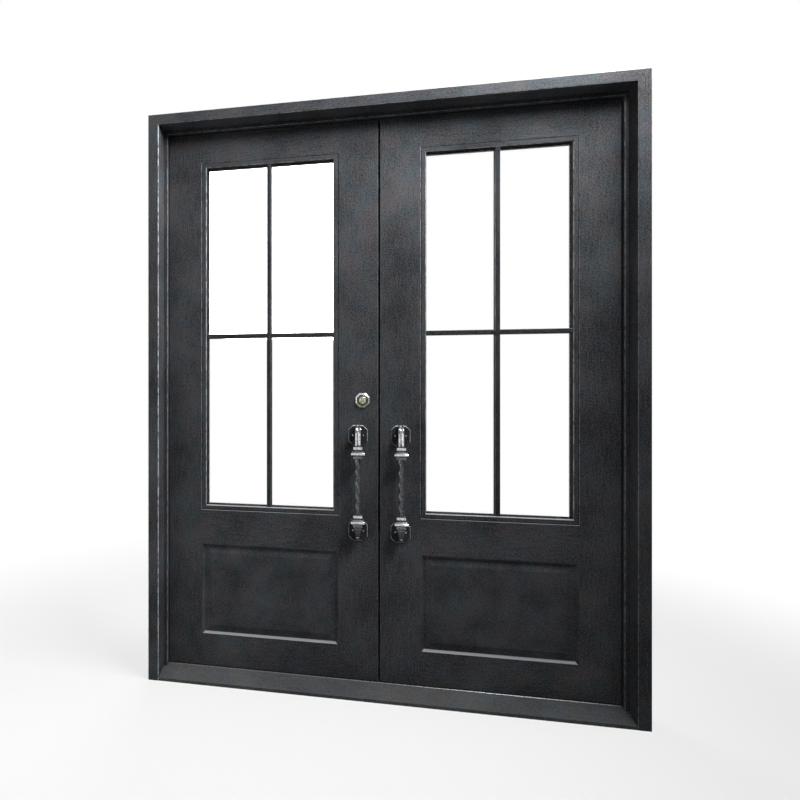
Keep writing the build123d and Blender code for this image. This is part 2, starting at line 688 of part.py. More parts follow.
def lock_stile_right():
    """The right leaf's meeting stile, cut for the strike and the flush bolts' plates."""
    body = stile(meeting_edge, inner_stile_line)
    body -= block(edge_wall, faceplate_y, faceplate_z)
    for z in flush_plate_spans():
        body -= block(edge_wall, flush_plate_y, z)
    return body


def deadbolt_case():
    """The faceplate with the sleeve that guides the bolt and houses the cam."""
    plate = block((-edge_wall[1], -edge_wall[0]), faceplate_y, faceplate_z)
    case_x = (-meeting_edge - CASE_REACH, -edge_wall[1])
    grown = BOLT_CLEARANCE + CASE_WALL
    body = plate + bolt_room(case_x, grown)
    body -= bolt_room((case_x[0] + CASE_WALL, 0), BOLT_CLEARANCE)
    return body - lock_rod(SPINDLE_RADIUS + SPINDLE_CLEARANCE, leaf_front, leaf_back)


def deadbolt_bolt():
    """The bolt, drawn back flush with its faceplate."""
    bar = bolt_room((-meeting_edge - BOLT_THROW - BOLT_TAIL, -meeting_edge), 0)
    return chamfer(bar.faces().sort_by(Axis.X)[-1].edges(), BOLT_CHAMFER)


def lock_rosette(face, inward, hole_radius):
    """A stepped octagonal rosette on one face of the left leaf."""
    plates = []
    for level, width in enumerate((LOCK_ROSETTE_WIDTH, LOCK_ROSETTE_WIDTH - 2 * LOCK_ROSETTE_INSET)):
        corner = width * (1 - 0.5 ** 0.5)
        plate = octagon_plate(width, width, corner, LOCK_ROSETTE_STEP, LOCK_ROSETTE_BEVEL)
        plates.append(Pos(0, -level * LOCK_ROSETTE_STEP, 0) * plate)
    turn = Rot(0, 0, 0) if inward > 0 else Rot(0, 0, 180)
    body = Pos(lock_x, face, BOLT_HEIGHT) * turn * (plates[0] + plates[1])
    proud = 2 * LOCK_ROSETTE_STEP + OVERCUT
    return body - lock_rod(hole_radius, face - inward * proud, face + inward * OVERCUT)


def lock_cylinder():
    """The key cylinder, with its keyway, from outside to the case."""
    front = leaf_front - 2 * LOCK_ROSETTE_STEP - CYLINDER_PROUD
    body = lock_rod(CYLINDER_RADIUS, front, leaf_middle - BOLT_THICKNESS / 2 - BOLT_CLEARANCE - CASE_WALL)
    body = chamfer(body.edges().filter_by(GeomType.CIRCLE).sort_by(Axis.Y)[0], CYLINDER_BEVEL)
    keyway_x = (lock_x - KEYWAY_WIDTH / 2, lock_x + KEYWAY_WIDTH / 2)
    keyway_z = (BOLT_HEIGHT - KEYWAY_HEIGHT / 2, BOLT_HEIGHT + KEYWAY_HEIGHT / 2)
    return body - block(keyway_x, (front - OVERCUT, front + KEYWAY_DEPTH), keyway_z)


def thumb_turn():
    """The inside knob, its spindle and the cam in the case."""
    inner_face = leaf_back + 2 * LOCK_ROSETTE_STEP
    hub_front = inner_face + LOCK_CLEARANCE
    cam_front = leaf_middle - CAM_THICKNESS / 2
    body = lock_rod(TURN_HUB_RADIUS, hub_front, hub_front + TURN_HUB_HEIGHT)
    body += lock_rod(SPINDLE_RADIUS, cam_front, hub_front + TURN_HUB_HEIGHT / 2)
    body += lock_rod(CAM_RADIUS, cam_front, cam_front + CAM_THICKNESS)
    wing_x = (lock_x - TURN_THICKNESS / 2, lock_x + TURN_THICKNESS / 2)
    wing_y = (hub_front + TURN_HUB_HEIGHT / 2, inner_face + TURN_PROUD)
    wing = block(wing_x, wing_y, (BOLT_HEIGHT - TURN_LENGTH / 2, BOLT_HEIGHT + TURN_LENGTH / 2))
    wing = fillet(wing.edges().filter_by(Axis.X), TURN_END_RADIUS)
    return body + chamfer(wing.faces().sort_by(Axis.Y)[-1].edges(), TURN_EDGE)


def strike_plate():
    """The plate in the right leaf's edge that the bolt enters."""
    plate = block(edge_wall, faceplate_y, faceplate_z)
    return plate - bolt_room((edge_wall[0] - OVERCUT, edge_wall[1] + OVERCUT), STRIKE_CLEARANCE)


# Flush bolts in the right leaf's edge

def flush_plate_spans():
    """The heights that the lower and the upper plate cover."""
    low = leaf_bottom + FLUSH_PLATE_INSET
    high = leaf_top - FLUSH_PLATE_INSET
    return [(low, low + FLUSH_PLATE_LENGTH), (high - FLUSH_PLATE_LENGTH, high)]


def flush_plates():
    """Slotted faceplates, each with two lugs that guide its rod."""
    plates = []
    slot = KNOB_HEIGHT + ROD_TRAVEL + 2 * SLOT_PLAY
    for span, up in zip(flush_plate_spans(), (-1, 1)):
        body = block(edge_wall, flush_plate_y, span)
        lug_x = (edge_wall[1], rod_x + ROD_RADIUS + LUG_WALL)
        for low in (span[0], span[1] - LUG_HEIGHT):
            body += block(lug_x, flush_plate_y, (low, low + LUG_HEIGHT))
        body -= rod(ROD_RADIUS + ROD_CLEARANCE, (rod_x, leaf_middle, span[0]), (rod_x, leaf_middle, span[1]))
        start = knob_middle(span, up) - up * (KNOB_HEIGHT / 2 + SLOT_PLAY)
        z = sorted((start, start + up * slot))
        knob_y = (leaf_middle - KNOB_WIDTH / 2 - SLOT_PLAY, leaf_middle + KNOB_WIDTH / 2 + SLOT_PLAY)
        plates.append(body - block(edge_wall, knob_y, z))
    return Compound(children=plates)


def knob_middle(span, up):
    """The knob's height when the rod is drawn back."""
    return (span[0] + span[1]) / 2 - up * ROD_TRAVEL / 2


def flush_rod(span, up):
    """A rod with its sliding knob, drawn back into the leaf."""
    tip = leaf_top - ROD_RETRACT if up > 0 else leaf_bottom + ROD_RETRACT
    tail = span[0] - ROD_TAIL - ROD_TRAVEL if up > 0 else span[1] + ROD_TAIL + ROD_TRAVEL
    bar = rod(ROD_RADIUS, (rod_x, leaf_middle, min(tip, tail)), (rod_x, leaf_middle, max(tip, tail)))
    z = knob_middle(span, up)
    y = (leaf_middle - KNOB_WIDTH / 2, leaf_middle + KNOB_WIDTH / 2)
    knob = block((meeting_edge + KNOB_RECESS, rod_x), y, (z - KNOB_HEIGHT / 2, z + KNOB_HEIGHT / 2))
    return bar + knob


# The whole door

pull_bar = pull_handle()
lower_span, upper_span = flush_plate_spans()
jamb = right_jamb()
stop = right_stop()
nodes = {
    "right_jamb": jamb,
    "left_jamb": mirrored(jamb),
    "head_jamb": head_jamb(),
    "threshold": threshold(),
    "right_stop": stop,
    "left_stop": mirrored(stop),
    "head_stop": head_stop(),
    "stop_seals": stop_seals(),
    "left_lock_stile": lock_stile_left(),
    "right_lock_stile": lock_stile_right(),
    "right_meeting_seal": meeting_seal(),
    "deadbolt_case": deadbolt_case(),
    "deadbolt_bolt": deadbolt_bolt(),
    "deadbolt_cylinder": lock_cylinder(),
    "deadbolt_outer_rosette": lock_rosette(leaf_front, 1, CYLINDER_RADIUS + LOCK_CLEARANCE),
    "deadbolt_inner_rosette": lock_rosette(leaf_back, -1, SPINDLE_RADIUS + LOCK_CLEARANCE),
    "deadbolt_thumb_turn": thumb_turn(),
    "deadbolt_strike": strike_plate(),
    "flush_bolt_plates": flush_plates(),
    "upper_flush_bolt": flush_rod(upper_span, 1),
    "lower_flush_bolt": flush_rod(lower_span, -1),
}
leaf_pieces = {
    "hinge_stile": stile(hinge_edge, outer_stile_line),
    "top_rail": rail(lite_top, leaf_top),
    "mid_rail": rail(panel_top, lite_bottom),
    "bottom_rail": rail(leaf_bottom, panel_bottom),
    "outer_panel": panel(leaf_front, 1),
    "inner_panel": panel(leaf_back, -1),
    "glass": glass(),
    "glass_spacer": glass_spacer(),
    "outer_bead": ring_bars(leaf_front, OUTER_BEAD_DEPTH, 1),
    "inner_bead": ring_bars(leaf_back, inner_bead_depth, -1),
    "outer_muntins": muntins(leaf_front, glass_front),
    "inner_muntins": muntins(leaf_back, glass_back),
    "sweep": sweep_strip(),
    "frame_hinges": frame_hinges(),
    "leaf_hinges": leaf_hinges(),
    "outer_pull": pull_at(False),
    "inner_pull": pull_at(True),
    "pull_rosettes": pull_rosettes(),
}
for name, piece in leaf_pieces.items():
    nodes["right_" + name] = piece
    nodes["left_" + name] = mirrored(piece)

os.makedirs("parts", exist_ok=True)
for name, piece in nodes.items():
    export_step(piece, f"parts/{name}.step")
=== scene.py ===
"""Steel double entry door with glazed leaves: finishes, small hardware, light and camera."""
from __future__ import annotations

import json
import logging
import math
from dataclasses import dataclass, field
from enum import Enum

import bmesh
import bpy
from mathutils import Matrix, Vector

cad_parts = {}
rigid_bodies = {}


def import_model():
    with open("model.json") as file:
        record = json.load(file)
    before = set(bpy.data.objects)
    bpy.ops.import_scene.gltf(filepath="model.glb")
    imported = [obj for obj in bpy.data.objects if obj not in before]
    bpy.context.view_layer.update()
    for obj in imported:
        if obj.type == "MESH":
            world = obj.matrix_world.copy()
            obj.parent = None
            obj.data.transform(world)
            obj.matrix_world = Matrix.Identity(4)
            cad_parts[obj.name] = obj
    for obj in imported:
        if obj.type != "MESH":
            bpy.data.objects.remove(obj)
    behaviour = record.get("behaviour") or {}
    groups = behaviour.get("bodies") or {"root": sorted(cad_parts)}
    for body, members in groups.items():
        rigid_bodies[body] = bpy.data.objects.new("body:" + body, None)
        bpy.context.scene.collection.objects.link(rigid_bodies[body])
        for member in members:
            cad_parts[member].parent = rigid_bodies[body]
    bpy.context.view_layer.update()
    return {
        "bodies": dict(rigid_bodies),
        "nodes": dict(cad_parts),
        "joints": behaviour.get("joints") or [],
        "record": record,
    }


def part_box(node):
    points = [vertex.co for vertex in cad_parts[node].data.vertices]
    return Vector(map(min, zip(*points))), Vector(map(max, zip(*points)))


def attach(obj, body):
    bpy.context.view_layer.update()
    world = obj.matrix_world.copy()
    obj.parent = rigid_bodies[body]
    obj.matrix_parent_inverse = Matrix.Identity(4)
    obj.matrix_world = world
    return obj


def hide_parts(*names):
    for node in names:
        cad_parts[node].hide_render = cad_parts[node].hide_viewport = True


log = logging.getLogger("doors")

Point = tuple[float, float, float]
Pair = tuple[float, float]

MM = 0.001
# The widest part of a unit normal is 1 on a flat face and 0.71 half way round an edge.
FLAT_NORMAL = 0.96
EDGE_NORMAL = 0.84
# Angles in degrees: faces that meet at less shade smoothly, and edges that turn more are rounded.
SMOOTH_BELOW = 35.0
SHARP_ABOVE = 25.0
ROUND_SEGMENTS = 2
ROUND_PROFILE = 0.5


def linear(hex_colour: str) -> tuple[float, float, float, float]:
    """Turn an sRGB hex colour into linear light.

    Args:
        hex_colour: Six hex digits with a leading hash.

    Returns:
        Red, green, blue and an alpha of one.
    """
    channels = [int(hex_colour[place:place + 2], 16) / 255 for place in (1, 3, 5)]
    values = [c / 12.92 if c <= 0.04045 else ((c + 0.055) / 1.055) ** 2.4 for c in channels]
    return (values[0], values[1], values[2], 1.0)


def add_node(tree: bpy.types.NodeTree, kind: str, settings: dict | None = None,
             links: dict | None = None) -> bpy.types.Node:
    """Add a shader node with its settings and links.

    Args:
        tree: The node tree that gets the node.
        kind: The node's type name.
        settings: Values by input name, input number or property name.
        links: Output sockets by the name or number of the input they feed.

    Returns:
        The new node.
    """
    node = tree.nodes.new(kind)
    for key, value in (settings or {}).items():
        if isinstance(key, str) and key not in node.inputs:
            setattr(node, key, value)
        else:
            node.inputs[key].default_value = value
    for key, output in (links or {}).items():
        tree.links.new(output, node.inputs[key])
    return node


def blank_material(name: str) -> tuple[bpy.types.Material, bpy.types.NodeTree]:
    """Make a material with an empty node tree.

    Args:
        name: The material's name.

    Returns:
        The material and its node tree.
    """
    material = bpy.data.materials.new(name)
    material.use_nodes = True
    material.node_tree.nodes.clear()
    return material, material.node_tree


def per_metre(size_mm: float) -> float:
    """Turn the real size of a pattern into a texture scale."""
    return 1.0 / (size_mm * MM)


def stretch(limits: Pair, low: float = 0.0, high: float = 1.0) -> dict[int, float]:
    """Give the settings that stretch what lies between two limits to a new range."""
    return {1: limits[0], 2: limits[1], 3: low, 4: high}


class Grain(Enum):
    """The way a sheet or tube was brushed before it was painted."""

    UPRIGHT = "z"
    LEVEL = "x"
    EVEN = "all"


def edge_share(tree: bpy.types.NodeTree, normal: bpy.types.NodeSocket) -> bpy.types.NodeSocket:
    """Find the rounded and chamfered edges, whose normals point between the axes.

    Args:
        tree: The node tree that gets the nodes.
        normal: The normal along the piece's own axes.

    Returns:
        One on an edge and zero on a flat face.
    """
    size = add_node(tree, "ShaderNodeVectorMath", {"operation": "ABSOLUTE"}, {0: normal}).outputs[0]
    parts = add_node(tree, "ShaderNodeSeparateXYZ", links={0: size}).outputs
    wide = add_node(tree, "ShaderNodeMath", {"operation": "MAXIMUM"}, {0: parts[0], 1: parts[1]}).outputs[0]
    widest = add_node(tree, "ShaderNodeMath", {"operation": "MAXIMUM"}, {0: wide, 1: parts[2]}).outputs[0]
    return add_node(tree, "ShaderNodeMapRange", stretch((FLAT_NORMAL, EDGE_NORMAL)), {0: widest}).outputs[0]


@dataclass(frozen=True)
class SatinPaint:
    """Charcoal two-pack paint, sprayed on welded steel and rubbed down at its edges.

    The spray leaves a fine mottle with broad clouds that shift in hue, and the brushing under it shows
    as faint streaks. Edges are lightened in patches, partly as bare metal where hands and feet reach and
    partly as a painted highlight, and up-facing ledges are lightened evenly as a painted highlight.
    Each pair of limits holds the values between which an effect grows to its full strength.
    """

    name: str
    grain: Grain = Grain.UPRIGHT
    dark: str = "#1c1d1f"
    cool_light: str = "#3d4246"
    warm_light: str = "#434143"
    # The bare colour shows as worn metal and as a painted highlight on edges and ledges.
    bare_and_highlight: str = "#a6a9ac"
    # Every edge keeps this share of its wear and painted highlight, also between the worn patches.
    edge_wear_and_highlight: float = 0.35
    least_edge_share: float = 0.25
    # The ledge share is a painted highlight on faces turned up.
    ledge_highlight: float = 0.3
    roughness: float = 0.55
    gloss_change: float = 0.07
    specular: float = 0.02
    ior: float = 1.5
    # Real spray mottle and brush lines are under 1 mm wide. Both are drawn coarser, so that they show.
    streak_mm: float = 5.0
    streak_length_mm: float = 70.0
    mottle_mm: float = 5.0
    edge_patch_mm: float = 22.0
    hue_mm: float = 85.0
    cloud_mm: float = 240.0
    fine_detail: float = 2.0
    broad_detail: float = 3.0
    relief_mm: float = 0.2
    relief_strength: float = 0.4
    mottle_share: float = 0.75
    cloud_share: float = 0.3
    tone_limits: Pair = (0.39, 0.61)
    hue_limits: Pair = (0.4, 0.6)
    edge_patch_limits: Pair = (0.38, 0.58)
    gloss_limits: Pair = (0.3, 0.7)
    ledge_highlight_limits: Pair = (0.45, 0.7)

    def streak_scale(self) -> Point:
        """Give the texture scale along X, Y and Z for this grain.

        Returns:
            One scale for each axis.
        """
        fine = per_metre(self.streak_mm)
        coarse = per_metre(self.streak_length_mm)
        if self.grain is Grain.UPRIGHT:
            return (fine, fine, coarse)
        if self.grain is Grain.LEVEL:
            return (coarse, fine, fine)
        # Marks without a direction are round, and twice as wide as a streak.
        return (fine / 2, fine / 2, fine / 2)

    def fine_marks(self, tree: bpy.types.NodeTree, place: bpy.types.NodeSocket) -> bpy.types.NodeSocket:
        """Mix the spray's mottle with the streaks of the brushing.

        Args:
            tree: The node tree that gets the nodes.
            place: The point on the piece.

        Returns:
            The marks as values round a half.
        """
        stretched = add_node(tree, "ShaderNodeMapping", {"Scale": self.streak_scale()}, {"Vector": place})
        streaks = add_node(tree, "ShaderNodeTexNoise", {"Scale": 1.0, "Detail": self.fine_detail},
                           {"Vector": stretched.outputs[0]})
        mottle = add_node(tree, "ShaderNodeTexNoise",
                          {"Scale": per_metre(self.mottle_mm), "Detail": self.fine_detail}, {"Vector": place})
        return add_node(tree, "ShaderNodeMix", {0: self.mottle_share},
                        {2: streaks.outputs[0], 3: mottle.outputs[0]}).outputs[0]

    def coat(self, tree: bpy.types.NodeTree, place: bpy.types.NodeSocket,
             fine: bpy.types.NodeSocket) -> bpy.types.NodeSocket:
        """Colour the unworn paint from its dark tone and its cool and warm light tones.

        Args:
            tree: The node tree that gets the nodes.
            place: The point on the piece.
            fine: The fine marks.

        Returns:
            The colour.
        """
        clouds = add_node(tree, "ShaderNodeTexNoise",
                          {"Scale": per_metre(self.cloud_mm), "Detail": self.broad_detail}, {"Vector": place})
        hues = add_node(tree, "ShaderNodeTexNoise",
                        {"Scale": per_metre(self.hue_mm), "Detail": self.fine_detail}, {"Vector": place})
        tone = add_node(tree, "ShaderNodeMix", {0: self.cloud_share}, {2: fine, 3: clouds.outputs[0]})
        lightness = add_node(tree, "ShaderNodeMapRange", stretch(self.tone_limits),
                             {0: tone.outputs[0]}).outputs[0]
        warmth = add_node(tree, "ShaderNodeMapRange", stretch(self.hue_limits),
                          {0: hues.outputs[0]}).outputs[0]
        light = add_node(tree, "ShaderNodeMix",
                         {"data_type": "RGBA", 6: linear(self.cool_light), 7: linear(self.warm_light)},
                         {0: warmth}).outputs[2]
        return add_node(tree, "ShaderNodeMix", {"data_type": "RGBA", 6: linear(self.dark)},
                        {0: lightness, 7: light}).outputs[2]

    def wear_and_highlight_share(self, tree: bpy.types.NodeTree, place: bpy.types.NodeSocket,
                   normal: bpy.types.NodeSocket) -> bpy.types.NodeSocket:
        """Find where the paint is worn, in patches along edges and evenly on ledges.

        Args:
            tree: The node tree that gets the nodes.
            place: The point on the piece.
            normal: The normal along the piece's own axes.

        Returns:
            One where the paint is fully lightened and zero where the paint is whole.
        """
        # Edges are lightened in patches, partly as wear and partly as a painted highlight.
        edge_patches = add_node(tree, "ShaderNodeTexNoise",
                       {"Scale": per_metre(self.edge_patch_mm), "Detail": self.broad_detail},
                       {"Vector": place}).outputs[0]
        worn_and_lit_edges = add_node(tree, "ShaderNodeMapRange",
                          stretch(self.edge_patch_limits, self.least_edge_share * self.edge_wear_and_highlight, self.edge_wear_and_highlight), {0: edge_patches})
        edges = add_node(tree, "ShaderNodeMath", {"operation": "MULTIPLY"},
                         {0: edge_share(tree, normal), 1: worn_and_lit_edges.outputs[0]}).outputs[0]
        # Painted highlight: faces turned up are lightened evenly.
        height = add_node(tree, "ShaderNodeSeparateXYZ", links={0: normal}).outputs[2]
        ledge_highlights = add_node(tree, "ShaderNodeMapRange", stretch(self.ledge_highlight_limits, 0.0, self.ledge_highlight),
                          {0: height}).outputs[0]
        return add_node(tree, "ShaderNodeMath", {"operation": "MAXIMUM"}, {0: edges, 1: ledge_highlights}).outputs[0]

    def material(self) -> bpy.types.Material:
        """Build the paint's shader.

        Returns:
            The material.
        """
        material, tree = blank_material(self.name)
        space = add_node(tree, "ShaderNodeTexCoord").outputs
        place = space["Object"]
        fine = self.fine_marks(tree, place)
        colour = add_node(tree, "ShaderNodeMix", {"data_type": "RGBA", 7: linear(self.bare_and_highlight)},
                          {0: self.wear_and_highlight_share(tree, place, space["Normal"]), 6: self.coat(tree, place, fine)})
        gloss = add_node(tree, "ShaderNodeMapRange",
                         stretch(self.gloss_limits, self.roughness - self.gloss_change,
                                 self.roughness + self.gloss_change), {0: fine})
        bump = add_node(tree, "ShaderNodeBump",
                        {"Strength": self.relief_strength, "Distance": self.relief_mm * MM}, {"Height": fine})
        shader = add_node(tree, "ShaderNodeBsdfPrincipled",
                          {"Specular IOR Level": self.specular, "IOR": self.ior},
                          {"Base Color": colour.outputs[2], "Roughness": gloss.outputs[0],
                           "Normal": bump.outputs[0]})
        add_node(tree, "ShaderNodeOutputMaterial", links={"Surface": shader.outputs[0]})
        return material


@dataclass(frozen=True)
class WorkedMetal:
    """A bare or waxed metal surface that was cast, forged, brushed or rubbed.

    The tool marks and the wax vary its tone and gloss in patches of a few millimetres. Faces turned up
    get a painted highlight, and faces turned down a painted shade. Each pair of limits holds the
    values between which an effect grows to its full strength.
    """

    name: str
    dark: str
    light: str
    # The upper colour is a painted highlight on faces turned up, and the under colour a painted shade on
    # faces turned down.
    top_highlight: str
    underside_shade: str
    metallic: float = 1.0
    roughness: float = 0.35
    gloss_change: float = 0.08
    patch_mm: float = 6.0
    patch_detail: float = 3.0
    relief_mm: float = 0.12
    relief_strength: float = 0.4
    patch_limits: Pair = (0.4, 0.6)
    gloss_limits: Pair = (0.3, 0.7)
    light_tilt_limits: Pair = (0.15, 0.5)

    def material(self) -> bpy.types.Material:
        """Build the metal's shader.

        Returns:
            The material.
        """
        material, tree = blank_material(self.name)
        space = add_node(tree, "ShaderNodeTexCoord").outputs
        patches = add_node(tree, "ShaderNodeTexNoise",
                           {"Scale": per_metre(self.patch_mm), "Detail": self.patch_detail},
                           {"Vector": space["Object"]}).outputs[0]
        share = add_node(tree, "ShaderNodeMapRange", stretch(self.patch_limits), {0: patches}).outputs[0]
        side = add_node(tree, "ShaderNodeMix",
                        {"data_type": "RGBA", 6: linear(self.dark), 7: linear(self.light)}, {0: share})
        height = add_node(tree, "ShaderNodeSeparateXYZ", links={0: space["Normal"]}).outputs[2]
        colour = side.outputs[2]
        # Painted highlight on faces turned up and painted shade on faces turned down.
        least, most = self.light_tilt_limits
        for limits, tone in (((least, most), self.top_highlight), ((-least, -most), self.underside_shade)):
            light_share = add_node(tree, "ShaderNodeMapRange", stretch(limits), {0: height}).outputs[0]
            colour = add_node(tree, "ShaderNodeMix", {"data_type": "RGBA", 7: linear(tone)},
                              {0: light_share, 6: colour}).outputs[2]
        gloss = add_node(tree, "ShaderNodeMapRange",
                         stretch(self.gloss_limits, self.roughness + self.gloss_change,
                                 self.roughness - self.gloss_change), {0: patches})
        bump = add_node(tree, "ShaderNodeBump",
                        {"Strength": self.relief_strength, "Distance": self.relief_mm * MM},
                        {"Height": patches})
        shader = add_node(tree, "ShaderNodeBsdfPrincipled", {"Metallic": self.metallic},
                          {"Base Color": colour, "Roughness": gloss.outputs[0],
                           "Normal": bump.outputs[0]})
        add_node(tree, "ShaderNodeOutputMaterial", links={"Surface": shader.outputs[0]})
        return material


@dataclass(frozen=True)
class FloatGlass:
    """Clear float glass, drawn flat and polished by its own melt, so it has no texture at all."""

    name: str = "float_glass"
    tint: str = "#ffffff"
    roughness: float = 0.0
    ior: float = 1.5

    def material(self) -> bpy.types.Material:
        """Build the glass, which lets the lamps' light through to what is behind it.

        Returns:
            The material.
        """
        material, tree = blank_material(self.name)
        shader = add_node(tree, "ShaderNodeBsdfPrincipled",
                          {"Base Color": linear(self.tint), "Roughness": self.roughness, "IOR": self.ior,
                           "Transmission Weight": 1.0})
        clear = add_node(tree, "ShaderNodeBsdfTransparent", {"Color": linear(self.tint)})
        path = add_node(tree, "ShaderNodeLightPath")
        mix = add_node(tree, "ShaderNodeMixShader",
                       links={0: path.outputs["Is Shadow Ray"], 1: shader.outputs[0], 2: clear.outputs[0]})
        add_node(tree, "ShaderNodeOutputMaterial", links={"Surface": mix.outputs[0]})
        return material


@dataclass(frozen=True)
class SealRubber:
    """Extruded EPDM rubber, a matt black with hardly any shine and with soft patches of dust."""

    name: str = "epdm_rubber"
    black: str = "#0c0c0d"
    dust: str = "#1a1a1b"
    dust_mm: float = 12.0
    dust_detail: float = 4.0
    roughness: float = 0.85
    specular: float = 0.04

    def material(self) -> bpy.types.Material:
        """Build the rubber's shader.

        Returns:
            The material.
        """
        material, tree = blank_material(self.name)
        place = add_node(tree, "ShaderNodeTexCoord").outputs["Object"]
        dust = add_node(tree, "ShaderNodeTexNoise",
                        {"Scale": per_metre(self.dust_mm), "Detail": self.dust_detail},
                        {"Vector": place}).outputs[0]
        colour = add_node(tree, "ShaderNodeMix",
                          {"data_type": "RGBA", 6: linear(self.black), 7: linear(self.dust)}, {0: dust})
        shader = add_node(tree, "ShaderNodeBsdfPrincipled",
                          {"Roughness": self.roughness, "Specular IOR Level": self.specular},
                          {"Base Color": colour.outputs[2]})
        add_node(tree, "ShaderNodeOutputMaterial", links={"Surface": shader.outputs[0]})
        return material


@dataclass
class Finishes:
    """Every finish on the door, made once and shared."""

    upright: bpy.types.Material = field(init=False)
    level: bpy.types.Material = field(init=False)
    sheet: bpy.types.Material = field(init=False)
    glazing: bpy.types.Material = field(init=False)
    shaded_bars: bpy.types.Material = field(init=False)
    left_post_highlit: bpy.types.Material = field(init=False)
    right_post_less_lit: bpy.types.Material = field(init=False)
    sill: bpy.types.Material = field(init=False)
    black_iron: bpy.types.Material = field(init=False)
    rubbed_iron: bpy.types.Material = field(init=False)
    burnished: bpy.types.Material = field(init=False)
    polished: bpy.types.Material = field(init=False)
    rosette: bpy.types.Material = field(init=False)
    brass: bpy.types.Material = field(init=False)
    dull_brass: bpy.types.Material = field(init=False)
    steel: bpy.types.Material = field(init=False)
    aluminium: bpy.types.Material = field(init=False)
    glass: bpy.types.Material = field(init=False)
    rubber: bpy.types.Material = field(init=False)

    def __post_init__(self) -> None:
        """Build the materials."""
        self.paints()
        self.irons()
        # Cast brass that has gone pale and greenish in the air, polished only on its facets. Faces turned up
        # get a painted highlight and faces turned down a painted shade.
        self.brass = WorkedMetal("aged_brass", "#77766a", "#bdbcb0", "#e6e6df", "#8a8979",
                                 roughness=0.16, patch_mm=5.0, relief_mm=0.2).material()
        # The floor of its recess round the cylinder is coloured darker and duller, with the same painted
        # highlight and shade.
        self.dull_brass = WorkedMetal("dark_recess_brass", "#2c2d24", "#5e5e4c", "#6c6c58", "#22231c",
                                      metallic=0.8, roughness=0.3, patch_mm=4.0, relief_mm=0.2).material()
        # Lock parts are ground and satin brushed, which leaves an even, soft shine. The marks are finer
        # than a millimetre, and are drawn as 3 mm patches so that they show. Faces turned up get a
        # painted highlight.
        self.steel = WorkedMetal("satin_steel", "#8d8f91", "#a9abad", "#b4b6b8", "#8d8f91",
                                 roughness=0.3, patch_mm=3.0, relief_mm=0.03).material()
        # The spacer between the panes is rolled aluminium as it leaves the mill, pale and dull, with a
        # painted highlight on faces turned up and a painted shade on faces turned down.
        self.aluminium = WorkedMetal("mill_aluminium", "#b4b6b8", "#c6c8c9", "#cfd0d1", "#a9abad",
                                     roughness=0.38, patch_mm=8.0, relief_mm=0.03).material()
        self.glass = FloatGlass().material()
        self.rubber = SealRubber().material()

    def paints(self) -> None:
        """Build the paint of each kind of member, worn where hands, feet and weather reach it, with painted
        highlights on edges and ledges.
        """
        # Stiles and rails get a painted highlight on their edges, mixed with wear, and on their ledges. The
        # rails' ledges get the stronger one.
        self.upright = SatinPaint("satin_paint_upright").material()
        self.level = SatinPaint("satin_paint_level", Grain.LEVEL, ledge_highlight=0.55).material()
        # Pressed sheet is too far back to be rubbed. Only the foot of its recess is lightened, as a painted
        # highlight.
        self.sheet = SatinPaint("satin_paint_sheet", Grain.EVEN, edge_wear_and_highlight=0.0, ledge_highlight=0.5,
                                streak_mm=3.0, mottle_mm=3.0, cloud_mm=140.0).material()
        # The beads' edges and ledges get a painted highlight, mixed with wear on the edges.
        self.glazing = SatinPaint("satin_paint_beads", edge_wear_and_highlight=0.4, ledge_highlight=0.55).material()
        # The thin bars are painted darker than the stiles as painted shade, and get hardly any wear.
        self.shaded_bars = SatinPaint("satin_paint_glazing_bars", dark="#141517", cool_light="#303437",
                               warm_light="#353334", edge_wear_and_highlight=0.05, ledge_highlight=0.2).material()
        # The left post's edges are lightened most, by wear with a strong painted highlight. The right post's
        # edges get less.
        self.left_post_highlit = SatinPaint("satin_paint_left_post", edge_wear_and_highlight=0.95).material()
        self.right_post_less_lit = SatinPaint("satin_paint_right_post", edge_wear_and_highlight=0.2).material()
        # Dust from shoes greys the sill all over.
        self.sill = SatinPaint("satin_paint_sill", Grain.LEVEL, dark="#292b2e", cool_light="#45494c",
                               warm_light="#494847", ledge_highlight=0.04).material()
        # The pulls' rosettes are painted darker, and their bevelled rims get thin bright lines from wear and
        # a painted highlight.
        self.rosette = SatinPaint("satin_paint_rosettes", Grain.EVEN, dark="#151618", cool_light="#2b2f33",
                                  warm_light="#302f30", edge_wear_and_highlight=0.5, ledge_highlight=0.9).material()

    def irons(self) -> None:
        """Build the four stages of rubbing on the forged pulls."""
        # Hammered iron under black wax stays dark, with soft highlights on every dent. Faces turned up get a
        # painted highlight and faces turned down a painted shade.
        self.black_iron = WorkedMetal("waxed_black_iron", "#26282b", "#4c4e52", "#505256", "#141516",
                                      metallic=0.6, roughness=0.42, patch_mm=4.0, relief_mm=0.5).material()
        # The corners of the twist are half rubbed through their wax. The feet of the capitals get this darker
        # finish as painted shade under their plates. Faces turned up get a painted highlight and faces turned
        # down a painted shade.
        self.rubbed_iron = WorkedMetal("half_rubbed_iron", "#3a3c40", "#6c6e72", "#77797c", "#232426",
                                       metallic=0.9, roughness=0.3, patch_mm=5.0, relief_mm=0.3).material()
        # Mouldings rubbed back to bare iron reflect the studio. Faces turned up get a painted highlight and
        # faces turned down a painted shade.
        self.burnished = WorkedMetal("burnished_iron", "#5c5e61", "#8a8c8e", "#b4b6b8", "#242528",
                                     roughness=0.2, patch_mm=5.0, relief_mm=0.2).material()
